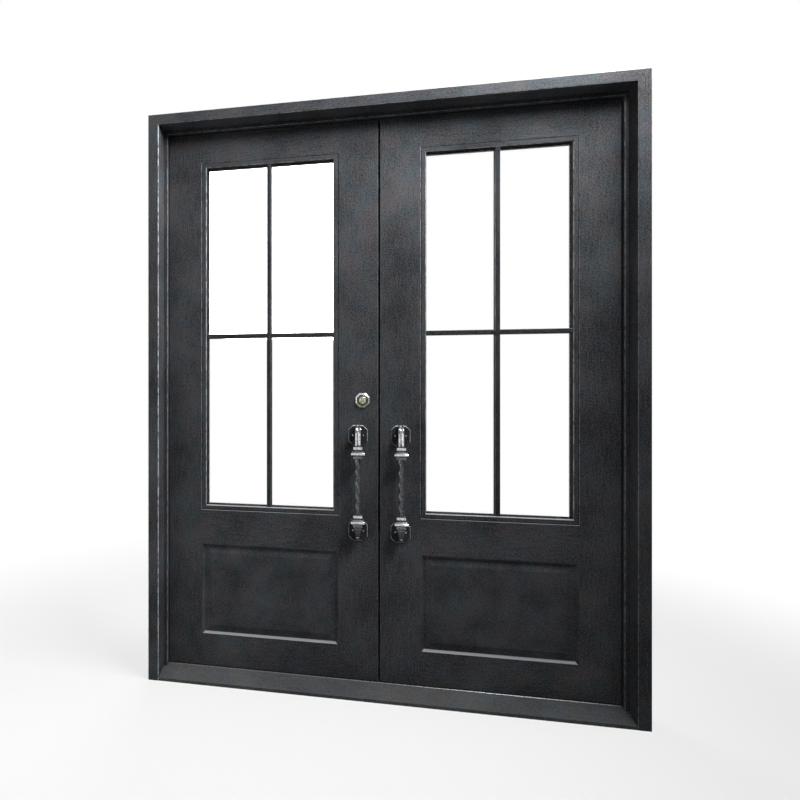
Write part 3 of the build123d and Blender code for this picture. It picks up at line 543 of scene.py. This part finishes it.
        # Their edges are worn bright, and flash as thin white lines. Faces turned up get a painted highlight
        # and faces turned down a painted shade.
        self.polished = WorkedMetal("polished_iron_edge", "#a2a4a6", "#d8dadb", "#e8e9e9", "#4b4d50",
                                    roughness=0.18, patch_mm=5.0, relief_mm=0.1).material()


def mesh_piece(name: str, shape: bmesh.types.BMesh, materials: list[bpy.types.Material]) -> bpy.types.Object:
    """Turn a finished bmesh into an object in the scene.

    Args:
        name: The piece's name.
        shape: Its geometry in metres, freed here.
        materials: Its materials, in the order of its face numbers.

    Returns:
        The new object.
    """
    bmesh.ops.recalc_face_normals(shape, faces=shape.faces)
    mesh = bpy.data.meshes.new(name)
    shape.to_mesh(mesh)
    shape.free()
    for material in materials:
        mesh.materials.append(material)
    mesh.polygons.foreach_set("use_smooth", [True] * len(mesh.polygons))
    mesh.set_sharp_from_angle(angle=math.radians(SMOOTH_BELOW))
    piece = bpy.data.objects.new(name, mesh)
    bpy.context.scene.collection.objects.link(piece)
    return piece


def square(width: float) -> list[Pair]:
    """Give the corners of a square round the origin."""
    half = width / 2
    return [(-half, -half), (half, -half), (half, half), (-half, half)]


def turned(x: float, y: float, angle: float) -> Pair:
    """Turn a point about the origin by an angle in radians."""
    return (x * math.cos(angle) - y * math.sin(angle), x * math.sin(angle) + y * math.cos(angle))


def skin(shape: bmesh.types.BMesh, rings: list[list[Point]], closed_ends: bool = True,
         face_materials: list[int] | None = None,
         level_materials: list[int] | None = None) -> list[list[bmesh.types.BMVert]]:
    """Join rings of points, given in millimetres, into a tube.

    Args:
        shape: The bmesh that gets the faces.
        rings: Rings with as many points each.
        closed_ends: Whether the first and last ring are filled.
        face_materials: The material number of each strip along the tube.
        level_materials: The material number of each band between two rings.

    Returns:
        The vertices of each ring.
    """
    made = [[shape.verts.new(Vector(point) * MM) for point in ring] for ring in rings]
    count = len(rings[0])
    for level, (low, high) in enumerate(zip(made, made[1:])):
        for index in range(count):
            after = (index + 1) % count
            face = shape.faces.new((low[index], low[after], high[after], high[index]))
            if face_materials:
                face.material_index = face_materials[index]
            elif level_materials:
                face.material_index = level_materials[level]
    if closed_ends:
        shape.faces.new(list(reversed(made[0])))
        shape.faces.new(made[-1])
    return made


def soften(shape: bmesh.types.BMesh, width_mm: float, number: int) -> None:
    """Round every sharp edge.

    Args:
        shape: The bmesh whose edges are rounded.
        width_mm: How far the rounding reaches from the edge, in millimetres.
        number: The material number of the new faces.
    """
    shape.normal_update()
    limit = math.radians(SHARP_ABOVE)
    edges = [edge for edge in shape.edges if edge.is_manifold and edge.calc_face_angle(0.0) > limit]
    bmesh.ops.bevel(shape, geom=edges, offset=width_mm * MM, segments=ROUND_SEGMENTS,
                    profile=ROUND_PROFILE, affect="EDGES", clamp_overlap=True, material=number)


def lathe(shape: bmesh.types.BMesh, profile: list[Pair], sides: int, place: Matrix, number: int = 0) -> None:
    """Turn a profile of (radius, height) in millimetres round the local Z axis.

    Args:
        shape: The bmesh that gets the faces.
        profile: Points from one end of the axis to the other, with a radius of zero at closed ends.
        sides: How many sides the turned shape has.
        place: Where the local origin and axes go, in metres.
        number: The material number of the faces.
    """
    angles = [2 * math.pi * step / sides for step in range(sides)]
    rings = []
    for radius, height in profile:
        around = angles if radius else angles[:1]
        points = [Vector((radius * math.cos(a), radius * math.sin(a), height)) * MM for a in around]
        rings.append([shape.verts.new(place @ point) for point in points])
    for low, high in zip(rings, rings[1:]):
        for step in range(sides):
            after = (step + 1) % sides
            corners = [low[step % len(low)], low[after % len(low)],
                       high[after % len(high)], high[step % len(high)]]
            unique = list(dict.fromkeys(corners))
            if len(unique) > 2:
                shape.faces.new(unique).material_index = number


def facing(point: Vector, direction: Vector) -> Matrix:
    """Give the place of something that stands at a point and looks along a direction."""
    return Matrix.Translation(point) @ direction.to_track_quat("Z", "Y").to_matrix().to_4x4()


def put_finish(frame: dict, node: str, finish: bpy.types.Material) -> None:
    """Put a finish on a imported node."""
    for place in frame["nodes"][node].material_slots:
        place.material = finish


class Side(Enum):
    """The left or right leaf, seen from outside."""

    LEFT = "left"
    RIGHT = "right"


class Face(Enum):
    """The street side or the room side of a leaf."""

    OUTER = "outer"
    INNER = "inner"


class Tone(Enum):
    """How light a part of the pull's iron is, from its rubbing and from painted shade, as its place in the
    list of finishes.
    """

    BLACK = 0
    RUBBED = 1
    BURNISHED = 2
    POLISHED = 3


def face_axes(face: Face) -> Matrix:
    """Give the turn that takes a piece made for the outer face to the given face."""
    return Matrix.Rotation(math.pi, 4, "Z") if face is Face.INNER else Matrix.Identity(4)


@dataclass
class PullHandle:
    """A forged pull: fluted strap, two capitals, a twisted square shaft and a finial with a ball.

    Lengths are millimetres. The handle is made for the outer face with the leaf at y = 0, its middle
    at x = 0 and its highest point at z = 0. Drops are measured down from there.
    """

    side: Side
    face: Face
    finishes: Finishes
    standoff: float = 52.0
    rosette_thickness: float = 6.0
    edge: float = 0.7
    strap_width: float = 21.0
    strap_thickness: float = 14.0
    strap_drop: float = 85.5
    bend_radius: float = 28.0
    bend_steps: int = 10
    # The front of the bend gets the black finish as painted shade, except for this share of its height at the
    # top.
    lit_bend_top: float = 0.13
    flute_width: float = 8.0
    flute_depth: float = 2.0
    flute_floor: float = 0.6
    shaft_drop: float = 132.5
    shaft_length: float = 232.5
    shaft_side: float = 16.0
    shaft_corner: float = 3.0
    shaft_steps: int = 90
    twist: float = 450.0
    upper_collar_height: float = 10.0
    lower_collar_height: float = 8.0
    collar_width: float = 36.0
    neck_width: float = 23.0
    neck_height: float = 4.0
    shoulder: float = 1.5
    plate_top_width: float = 38.0
    plate_width: float = 54.0
    plate_slope: float = 8.0
    plate_band: float = 7.0
    finial_width: float = 30.0
    finial_swell: float = 8.0
    finial_taper: float = 34.0
    finial_end_width: float = 14.0
    ball_radius: float = 8.5
    ball_steps: int = 12
    post_side: float = 16.0
    post_drop: float = 421.0

    def strap(self, shape: bmesh.types.BMesh) -> None:
        """Sweep the fluted section out of the rosette, round the bend and down.

        Args:
            shape: The bmesh that gets the faces.
        """
        half = self.strap_width / 2
        flute = self.flute_width / 2
        floor = flute * self.flute_floor
        section = [(-half, 0.0), (-flute, 0.0), (-floor, self.flute_depth), (floor, self.flute_depth),
                   (flute, 0.0), (half, 0.0), (half, self.strap_thickness), (-half, self.strap_thickness)]
        outer = -self.standoff - self.strap_thickness / 2
        centre = Vector((0.0, outer + self.bend_radius, -self.bend_radius))
        stations = [(Vector((0.0, -self.rosette_thickness, 0.0)), Vector((0.0, 0.0, 1.0)))]
        for step in range(self.bend_steps + 1):
            angle = math.pi / 2 * (1 + step / self.bend_steps)
            out = Vector((0.0, math.cos(angle), math.sin(angle)))
            stations.append((centre + out * self.bend_radius, out))
        stations.append((Vector((0.0, outer, -self.strap_drop)), Vector((0.0, -1.0, 0.0))))
        rings = [[tuple(point - out * depth + Vector((x, 0.0, 0.0))) for x, depth in section]
                 for point, out in stations]
        strips = [Tone.POLISHED, Tone.BURNISHED, Tone.RUBBED, Tone.BURNISHED, Tone.POLISHED,
                  Tone.BURNISHED, Tone.BLACK, Tone.BURNISHED]
        skin(shape, rings, face_materials=[strip.value for strip in strips])
        # Painted shade: the front of the bend, below its top share, gets the black finish.
        for face in shape.faces:
            middle = face.calc_center_median() / MM
            in_shaded_bend = -self.bend_radius < middle.z < -self.bend_radius * self.lit_bend_top
            if in_shaded_bend and middle.y < centre.y:
                face.material_index = Tone.BLACK.value

    def square_stack(self, shape: bmesh.types.BMesh, top: float,
                     stages: list[tuple[float, float, Tone]]) -> float:
        """Skin level squares hung from a height.

        Args:
            shape: The bmesh that gets the faces.
            top: The height of the first square.
            stages: The drop to each square, its width and the finish of the faces that lead to it.

        Returns:
            The height of the lowest square.
        """
        rings = []
        for drop, width, _ in stages:
            top -= drop
            rings.append([(x, y - self.standoff, top) for x, y in square(width)])
        skin(shape, rings, level_materials=[tone.value for _, _, tone in stages[1:]])
        return top

    def capital(self, shape: bmesh.types.BMesh, top: float) -> float:
        """Build a collar, a neck, a sloping plate, a second neck and a second collar.

        Args:
            shape: The bmesh that gets the faces.
            top: The height of the upper collar's top.

        Returns:
            The height of the lower collar's foot.
        """
        collar = [(0.0, self.collar_width, Tone.POLISHED),
                  (self.upper_collar_height, self.collar_width, Tone.POLISHED)]
        neck = [(self.shoulder, self.neck_width, Tone.BLACK), (self.neck_height, self.neck_width, Tone.BLACK)]
        plate = [(self.shoulder, self.plate_top_width, Tone.POLISHED),
                 (self.plate_slope, self.plate_width, Tone.BLACK),
                 (self.plate_band, self.plate_width, Tone.POLISHED)]
        # Painted shade: the lower collar, under the plate, gets a darker finish than the upper collar.
        foot = [(self.shoulder, self.collar_width, Tone.RUBBED),
                (self.lower_collar_height, self.collar_width, Tone.RUBBED)]
        return self.square_stack(shape, top, collar + neck + plate + neck + foot)

    def shaft(self, shape: bmesh.types.BMesh) -> None:
        """Skin the twisted bar, whose four rounded corners are rubbed bright.

        Args:
            shape: The bmesh that gets the faces.
        """
        inner = self.shaft_side / 2 - self.shaft_corner
        outline = []
        for quarter in range(4):
            for angle in (0.0, math.pi / 4, math.pi / 2):
                x = inner + self.shaft_corner * math.cos(angle)
                y = inner + self.shaft_corner * math.sin(angle)
                outline.append(turned(x, y, math.pi / 2 * quarter))
        rings = []
        for step in range(self.shaft_steps + 1):
            share = step / self.shaft_steps
            z = -self.shaft_drop - self.shaft_length * (1 - share)
            corners = [turned(x, y, math.radians(self.twist * share)) for x, y in outline]
            rings.append([(x, y - self.standoff, z) for x, y in corners])
        skin(shape, rings, face_materials=[Tone.BLACK.value, Tone.RUBBED.value, Tone.BLACK.value] * 4)

    def finial(self, shape: bmesh.types.BMesh, top: float) -> float:
        """Build the tapered finial below the lower capital and the post that ties it to the leaf.

        Args:
            shape: The bmesh that gets the faces.
            top: The height of the lower capital's foot.

        Returns:
            The height of the finial's foot.
        """
        foot = self.square_stack(shape, top, [(0.0, self.neck_width, Tone.BLACK),
                                              (self.finial_swell, self.finial_width, Tone.BLACK),
                                              (self.finial_taper, self.finial_end_width, Tone.BLACK)])
        skin(shape, [[(x, y, z - self.post_drop) for x, z in square(self.post_side)]
                     for y in (-self.rosette_thickness, -self.standoff)])
        return foot

    def ball(self, shape: bmesh.types.BMesh, foot: float) -> None:
        """Turn the ball, sunk by a quarter into the finial's foot.

        Args:
            shape: The bmesh that gets the faces.
            foot: The height of the finial's foot.
        """
        place = Matrix.Translation(Vector((0, -self.standoff, foot - self.ball_radius / 2)) * MM)
        arc = [math.pi * step / self.ball_steps for step in range(1, self.ball_steps)]
        round_part = [(self.ball_radius * math.sin(a), self.ball_radius * math.cos(a)) for a in arc]
        profile = [(0, self.ball_radius)] + round_part + [(0, -self.ball_radius)]
        lathe(shape, profile, 2 * self.ball_steps, place, Tone.RUBBED.value)

    def build(self) -> bpy.types.Object:
        """Build the handle, put it in place and hang it on its leaf.

        Returns:
            The handle.
        """
        mouldings = bmesh.new()
        self.strap(mouldings)
        self.capital(mouldings, -self.strap_drop)
        lowest = self.capital(mouldings, -self.shaft_drop - self.shaft_length)
        soften(mouldings, self.edge, Tone.POLISHED.value)
        drop = bmesh.new()
        foot = self.finial(drop, lowest)
        soften(drop, self.edge, Tone.RUBBED.value)
        shape = bmesh.new()
        self.shaft(shape)
        for part in (mouldings, drop):
            scratch = bpy.data.meshes.new("scratch")
            part.to_mesh(scratch)
            part.free()
            shape.from_mesh(scratch)
            bpy.data.meshes.remove(scratch)
        self.ball(shape, foot)
        node = f"{self.side.value}_{self.face.value}_pull"
        piece = mesh_piece(f"{node}_forging", shape, [self.finishes.black_iron, self.finishes.rubbed_iron,
                                                      self.finishes.burnished, self.finishes.polished])
        low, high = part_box(node)
        rosette = self.rosette_thickness * MM
        leaf_face = high.y + rosette if self.face is Face.OUTER else low.y - rosette
        place = Matrix.Translation(((low.x + high.x) / 2, leaf_face, high.z)) @ face_axes(self.face)
        piece.data.transform(place)
        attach(piece, f"{self.side.value}_leaf")
        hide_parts(node)
        log.info("built %s", piece.name)
        return piece


@dataclass
class ScrewSet:
    """Oval-headed screws with a hexagonal socket, all of one size, on one body. Lengths are millimetres.

    The crown holds points on the head's curve, as shares of its radius and height.
    """

    name: str
    body: str
    slot: str
    finish: bpy.types.Material
    spots: list[Matrix]
    head_radius: float = 4.6
    head_height: float = 2.2
    socket_radius: float = 1.9
    socket_depth: float = 1.3
    crown: tuple[Pair, ...] = ((1.0, 0.0), (0.97, 0.45), (0.8, 0.85))
    sides: int = 18

    def build(self) -> bpy.types.Object:
        """Turn one head at every spot. Each spot's local Z points out of the surface.

        Returns:
            The screws as one piece.
        """
        floor = self.head_height - self.socket_depth
        dome = [(self.head_radius * out, self.head_height * up) for out, up in self.crown]
        socket = [(self.socket_radius, self.head_height), (self.socket_radius, floor), (0, floor)]
        shape = bmesh.new()
        for spot in self.spots:
            lathe(shape, [(0, 0.0)] + dome + socket, self.sides, spot)
        piece = mesh_piece(self.name, shape, [self.finish])
        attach(piece, self.body)
        log.info("built %s with %d heads", self.name, len(self.spots))
        return piece


@dataclass
class Leaf:
    """One glazed leaf with its hinges, seals and handles. Lengths are millimetres."""

    side: Side
    finishes: Finishes
    frame: dict
    gasket_width: float = 1.5
    gasket_height: float = 12.0
    groove_width: float = 2.4
    groove_sink: float = 1.0
    groove_depth: float = 7.9
    rosette_width: float = 79.0
    rosette_height: float = 84.0
    screw_spacing: float = 42.0

    def dress(self) -> None:
        """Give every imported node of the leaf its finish."""
        paint = {"lock_stile": self.finishes.upright, "hinge_stile": self.finishes.upright,
                 "top_rail": self.finishes.level, "mid_rail": self.finishes.level,
                 "bottom_rail": self.finishes.level, "outer_panel": self.finishes.sheet,
                 "inner_panel": self.finishes.sheet, "outer_bead": self.finishes.glazing,
                 "inner_bead": self.finishes.glazing, "outer_muntins": self.finishes.shaded_bars,
                 "inner_muntins": self.finishes.shaded_bars, "leaf_hinges": self.finishes.upright,
                 "glass": self.finishes.glass, "glass_spacer": self.finishes.aluminium,
                 "sweep": self.finishes.rubber, "pull_rosettes": self.finishes.rosette}
        for part, finish in paint.items():
            put_finish(self.frame, f"{self.side.value}_{part}", finish)

    def rubber_ring(self, name: str, box: tuple[Vector, Vector], width: float,
                    depths: Pair) -> bpy.types.Object:
        """Lay one rubber strip round the inside of an upright rectangle.

        Args:
            name: The piece's name.
            box: The rectangle's low and high corners in metres.
            width: How far the strip reaches inwards, in millimetres.
            depths: Where it starts and ends along Y, in metres.

        Returns:
            The strip.
        """
        low, high = box
        inset = width * MM
        outer = [(low.x, low.z), (high.x, low.z), (high.x, high.z), (low.x, high.z)]
        inner = [(low.x + inset, low.z + inset), (high.x - inset, low.z + inset),
                 (high.x - inset, high.z - inset), (low.x + inset, high.z - inset)]
        loops = ((outer, depths[0]), (outer, depths[1]), (inner, depths[1]), (inner, depths[0]))
        shape = bmesh.new()
        rings = [[shape.verts.new((x, y, z)) for x, z in loop] for loop, y in loops]
        for first, second in zip(rings, rings[1:] + rings[:1]):
            for index in range(len(outer)):
                after = (index + 1) % len(outer)
                shape.faces.new((first[index], first[after], second[after], second[index]))
        piece = mesh_piece(name, shape, [self.finishes.rubber])
        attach(piece, f"{self.side.value}_leaf")
        log.info("built %s", piece.name)
        return piece

    def gaskets(self, face: Face) -> None:
        """Line the beads' inner sides against the pane, and fill the groove round their outer sides with dark
        rubber as painted shade.

        Args:
            face: The face of the leaf that gets the rubber.
        """
        prefix = f"{self.side.value}_{face.value}"
        is_outer = face is Face.OUTER
        out = -MM if is_outer else MM
        glass_low, glass_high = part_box(f"{self.side.value}_glass")
        pane = glass_low.y if is_outer else glass_high.y
        self.rubber_ring(f"{prefix}_glazing_gasket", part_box(f"{prefix}_muntins"),
                         self.gasket_width, (pane, pane + out * self.gasket_height))
        # Painted shade: a dark rubber strip fills the groove round each bead, where there is only shade.
        bead_low, bead_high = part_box(f"{prefix}_bead")
        front = bead_low.y if is_outer else bead_high.y
        self.rubber_ring(f"{prefix}_groove_shade_strip", (bead_low, bead_high), self.groove_width,
                         (front - out * self.groove_depth, front - out * self.groove_sink))

    def rosette_screws(self) -> bpy.types.Object:
        """Set two screws in each of the four pull rosettes.

        Returns:
            The screws as one piece.
        """
        low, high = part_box(f"{self.side.value}_pull_rosettes")
        middle = (low.x + high.x) / 2
        half_height = (high.x - low.x) / 2 * self.rosette_height / self.rosette_width
        aside = self.screw_spacing / 2 * MM
        spots = []
        for y, direction in ((low.y, Vector((0, -1, 0))), (high.y, Vector((0, 1, 0)))):
            for z in (low.z + half_height, high.z - half_height):
                for x in (middle - aside, middle + aside):
                    spots.append(facing(Vector((x, y, z)), direction))
        return ScrewSet(f"{self.side.value}_rosette_screws", f"{self.side.value}_leaf", "pull_iron",
                        self.finishes.burnished, spots).build()

    def build(self) -> None:
        """Dress the leaf and add its small pieces."""
        self.dress()
        for face in Face:
            self.gaskets(face)
            PullHandle(self.side, face, self.finishes).build()
        self.rosette_screws()
        log.info("dressed the %s leaf", self.side.value)


@dataclass
class DoorFrame:
    """The welded tube frame with its stops, seals and sill. Lengths are millimetres."""

    finishes: Finishes
    frame: dict
    nosing_radius: float = 2.0
    nosing_gap: float = 1.6
    nosing_sink: float = 1.4
    nosing_steps: int = 10

    def nosing(self) -> bpy.types.Object:
        """Run a half-round bar along the sill, just in front of the leaves' feet.

        Returns:
            The bar.
        """
        left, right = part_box("left_jamb")[1].x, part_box("right_jamb")[0].x
        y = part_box("left_bottom_rail")[0].y - (self.nosing_gap + self.nosing_radius) * MM
        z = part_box("threshold")[1].z - self.nosing_sink * MM
        arc = [math.pi * step / self.nosing_steps for step in range(self.nosing_steps + 1)]
        profile = [(-self.nosing_radius * math.cos(a), self.nosing_radius * math.sin(a)) for a in arc]
        profile += [(self.nosing_radius, -self.nosing_sink), (-self.nosing_radius, -self.nosing_sink)]
        shape = bmesh.new()
        skin(shape, [[(x / MM, y / MM + across, z / MM + up) for across, up in profile]
                     for x in (left, right)])
        piece = mesh_piece("sill_nosing", shape, [self.finishes.rubbed_iron])
        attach(piece, "frame")
        log.info("built %s", piece.name)
        return piece

    def build(self) -> None:
        """Dress the frame's nodes and add the sill's nosing."""
        paint = {"left_jamb": self.finishes.left_post_highlit, "right_jamb": self.finishes.right_post_less_lit,
                 "head_jamb": self.finishes.level, "threshold": self.finishes.sill,
                 "left_stop": self.finishes.upright, "right_stop": self.finishes.upright,
                 "head_stop": self.finishes.level, "stop_seals": self.finishes.rubber,
                 "left_frame_hinges": self.finishes.upright, "right_frame_hinges": self.finishes.upright}
        for node, finish in paint.items():
            put_finish(self.frame, node, finish)
        self.nosing()
        log.info("dressed the frame")


@dataclass
class LockRosette:
    """The cast octagonal rosette round the key cylinder. Lengths are millimetres.

    A mitred rim rises from the leaf to a crest and falls into a dark recess round the cylinder.
    """

    finishes: Finishes
    sides: int = 8
    base_rise: float = 1.4
    crest_inset: float = 7.5
    crest_width: float = 1.2
    recess_inset: float = 11.0
    recess_depth: float = 4.0
    bore_radius: float = 16.3
    edge: float = 0.35

    def build(self) -> bpy.types.Object:
        """Skin the rosette from its foot over the rim into the recess.

        Returns:
            The rosette.
        """
        low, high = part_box("deadbolt_outer_rosette")
        half = (high.x - low.x) / 2 / MM
        height = (high.y - low.y) / MM
        floor = height - self.recess_depth
        crest = half - self.crest_inset - self.crest_width
        profile = [(self.bore_radius, 0.0), (half, 0.0), (half, self.base_rise),
                   (half - self.crest_inset, height), (crest, height),
                   (half - self.recess_inset, floor), (self.bore_radius, floor)]
        centre = Vector(((low.x + high.x) / 2, high.y, (low.z + high.z) / 2)) / MM
        angles = [math.pi * (2 * step + 1) / self.sides for step in range(self.sides)]
        rings = []
        for apothem, rise in profile:
            reach = apothem / math.cos(math.pi / self.sides)
            rings.append([(centre.x + reach * math.cos(a), centre.y - rise, centre.z + reach * math.sin(a))
                          for a in angles])
        shape = bmesh.new()
        made = skin(shape, rings, closed_ends=False)
        for step in range(self.sides):
            after = (step + 1) % self.sides
            shape.faces.new((made[-1][step], made[-1][after], made[0][after], made[0][step]))
        for face in shape.faces:
            offset = face.calc_center_median() / MM - centre
            in_recess = offset.xz.length < crest and -offset.y < height
            face.material_index = 1 if in_recess else 0
        soften(shape, self.edge, 0)
        piece = mesh_piece("deadbolt_outer_rosette_casting", shape,
                           [self.finishes.brass, self.finishes.dull_brass])
        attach(piece, "left_leaf")
        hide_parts("deadbolt_outer_rosette")
        log.info("built %s", piece.name)
        return piece


@dataclass
class Locks:
    """The deadbolt, its strike and the flush bolts. Lengths are millimetres."""

    finishes: Finishes
    frame: dict
    screw_radius: float = 3.2
    screw_height: float = 0.5
    socket_radius: float = 1.4
    socket_depth: float = 0.4
    deadbolt_inset: float = 6.0
    flush_bolt_inset: float = 10.0
    flush_bolt_plate: float = 160.0

    def plate_screws(self, node: str, body: str, direction: Vector, inset: float) -> bpy.types.Object:
        """Set a screw near each end of every plate in a leaf's edge.

        Args:
            node: The plate's node.
            body: The body that it rides on.
            direction: The way that the plate faces.
            inset: The distance from the plate's ends to the screws, in millimetres.

        Returns:
            The screws as one piece.
        """
        low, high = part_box(node)
        x = high.x if direction.x > 0 else low.x
        y = (low.y + high.y) / 2
        ends = [(low.z, high.z)]
        if node == "flush_bolt_plates":
            length = self.flush_bolt_plate * MM
            ends = [(low.z, low.z + length), (high.z - length, high.z)]
        spots = []
        for bottom, top in ends:
            for z in (bottom + inset * MM, top - inset * MM):
                spots.append(facing(Vector((x, y, z)), direction))
        return ScrewSet(f"{node}_screws", body, "lock_steel", self.finishes.steel, spots,
                        self.screw_radius, self.screw_height, self.socket_radius, self.socket_depth).build()

    def build(self) -> None:
        """Dress the lock's nodes and add the small screws."""
        steel_nodes = ("deadbolt_case", "deadbolt_bolt", "deadbolt_strike", "flush_bolt_plates",
                       "upper_flush_bolt", "lower_flush_bolt")
        brass_nodes = ("deadbolt_outer_rosette", "deadbolt_inner_rosette", "deadbolt_cylinder",
                       "deadbolt_thumb_turn")
        for nodes, finish in ((steel_nodes, self.finishes.steel), (brass_nodes, self.finishes.brass),
                              (("right_meeting_seal",), self.finishes.rubber)):
            for node in nodes:
                put_finish(self.frame, node, finish)
        LockRosette(self.finishes).build()
        to_right, to_left = Vector((1, 0, 0)), Vector((-1, 0, 0))
        self.plate_screws("deadbolt_case", "left_leaf", to_right, self.deadbolt_inset)
        self.plate_screws("deadbolt_strike", "right_leaf", to_left, self.deadbolt_inset)
        self.plate_screws("flush_bolt_plates", "right_leaf", to_left, self.flush_bolt_inset)
        log.info("dressed the locks")


def seen_directly(tree: bpy.types.NodeTree) -> bpy.types.NodeSocket:
    """Tell rays from the camera, a reflection or a pane from all others.

    Args:
        tree: The node tree that gets the nodes.

    Returns:
        One on those rays and zero on all others.
    """
    path = add_node(tree, "ShaderNodeLightPath")
    first = add_node(tree, "ShaderNodeMath", {"operation": "MAXIMUM"},
                     {0: path.outputs["Is Camera Ray"], 1: path.outputs["Is Glossy Ray"]})
    both = add_node(tree, "ShaderNodeMath", {"operation": "MAXIMUM"},
                    {0: first.outputs[0], 1: path.outputs["Is Transmission Ray"]})
    return both.outputs[0]


@dataclass(frozen=True)
class Lamp:
    """A rectangular soft lamp that looks at a point. Lengths are metres."""

    name: str
    place: Point
    aim: Point
    size: Pair
    watts: float

    def hang(self) -> None:
        """Add the lamp to the scene."""
        data = bpy.data.lights.new(self.name, "AREA")
        data.shape = "RECTANGLE"
        data.size, data.size_y = self.size
        data.energy = self.watts
        lamp = bpy.data.objects.new(self.name, data)
        bpy.context.scene.collection.objects.link(lamp)
        lamp.location = self.place
        lamp.rotation_euler = (Vector(self.aim) - Vector(self.place)).to_track_quat("-Z", "Y").to_euler()
        log.info("hung the %s lamp", self.name)


@dataclass
class Studio:
    """A pale floor, a white surround and soft lamps. Lengths are metres."""

    floor_size: float = 16.0
    floor_cells: int = 8
    floor_colour: str = "#b8b8b7"
    floor_glow: float = 0.72
    clear_radius: float = 1.5
    fade_radius: float = 3.0
    white: str = "#ffffff"
    fill_strength: float = 0.07
    lamps: tuple[Lamp, ...] = (
        Lamp("key", (1.19, -0.87, 3.32), (-1.5, 0.0, 2.95), (2.0, 0.8), 340.0),
        Lamp("low", (-2.24, -1.21, 0.64), (-0.4, 0.0, 1.1), (1.6, 1.6), 24.0),
        Lamp("rear", (-0.9, 2.6, 2.5), (0.0, 0.0, 1.1), (1.8, 1.8), 90.0),
    )

    def surround(self) -> None:
        """Light the scene softly from all round, against plain white."""
        world = bpy.data.worlds.new("studio")
        bpy.context.scene.world = world
        world.use_nodes = True
        tree = world.node_tree
        tree.nodes.clear()
        strength = add_node(tree, "ShaderNodeMix", {2: self.fill_strength, 3: 1.0}, {0: seen_directly(tree)})
        back = add_node(tree, "ShaderNodeBackground", {"Color": linear(self.white)},
                        {"Strength": strength.outputs[0]})
        add_node(tree, "ShaderNodeOutputWorld", links={"Surface": back.outputs[0]})

    def floor(self) -> None:
        """Lay a pale floor that fades into the white surround away from the door."""
        shape = bmesh.new()
        bmesh.ops.create_grid(shape, x_segments=self.floor_cells, y_segments=self.floor_cells,
                              size=self.floor_size / 2)
        material, tree = blank_material("pale_floor")
        place = add_node(tree, "ShaderNodeTexCoord").outputs["Object"]
        distance = add_node(tree, "ShaderNodeVectorMath", {"operation": "LENGTH"}, {0: place})
        fade = add_node(tree, "ShaderNodeMapRange",
                        {"interpolation_type": "SMOOTHSTEP",
                         **stretch((self.clear_radius, self.fade_radius), self.floor_glow)},
                        {0: distance.outputs["Value"]}).outputs[0]
        share = add_node(tree, "ShaderNodeMath", {"operation": "MULTIPLY"}, {0: fade, 1: seen_directly(tree)})
        plain = add_node(tree, "ShaderNodeBsdfDiffuse", {"Color": linear(self.floor_colour)})
        white = add_node(tree, "ShaderNodeEmission", {"Color": linear(self.white), "Strength": 1.0})
        mix = add_node(tree, "ShaderNodeMixShader",
                       links={0: share.outputs[0], 1: plain.outputs[0], 2: white.outputs[0]})
        add_node(tree, "ShaderNodeOutputMaterial", links={"Surface": mix.outputs[0]})
        mesh_piece("floor", shape, [material])
        log.info("laid the floor")

    def build(self) -> None:
        """Set up the floor, the surround and the lamps."""
        self.surround()
        self.floor()
        for lamp in self.lamps:
            lamp.hang()
        log.info("set up the studio")


@dataclass
class ViewPoint:
    """The camera, fitted to the perspective of the door's corners.

    Attributes:
        image_size: Width and height of the square image in pixels.
        focal_px: Focal length in pixels.
        axis_px: Where the optical axis meets the image, from its top left corner.
        yaw: How far the axis turns to the left of straight ahead, in degrees.
        place: Where the camera stands, in metres.
        sensor_mm: The width of the sensor in millimetres.
    """

    image_size: float = 800.0
    focal_px: float = 605.0
    axis_px: Pair = (240.0, 384.7)
    yaw: float = 11.66
    place: Point = (-0.058, -2.593, 1.2735)
    sensor_mm: float = 36.0

    def build(self) -> None:
        """Create the camera and make it the scene's own."""
        data = bpy.data.cameras.new("camera")
        data.sensor_width = self.sensor_mm
        data.lens = self.sensor_mm * self.focal_px / self.image_size
        data.shift_x = (self.image_size / 2 - self.axis_px[0]) / self.image_size
        data.shift_y = (self.axis_px[1] - self.image_size / 2) / self.image_size
        camera = bpy.data.objects.new("camera", data)
        bpy.context.scene.collection.objects.link(camera)
        camera.location = self.place
        camera.rotation_euler = (math.pi / 2, 0.0, math.radians(self.yaw))
        bpy.context.scene.camera = camera
        log.info("placed the camera")


def main() -> None:
    """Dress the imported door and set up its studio."""
    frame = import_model()
    bpy.context.scene.view_settings.view_transform = "Standard"
    ViewPoint().build()
    Studio().build()
    finishes = Finishes()
    DoorFrame(finishes, frame).build()
    for side in Side:
        Leaf(side, finishes, frame).build()
    Locks(finishes, frame).build()


if __name__ == "__main__":
    logging.basicConfig(level=logging.INFO, format="%(name)s: %(message)s")
    main()
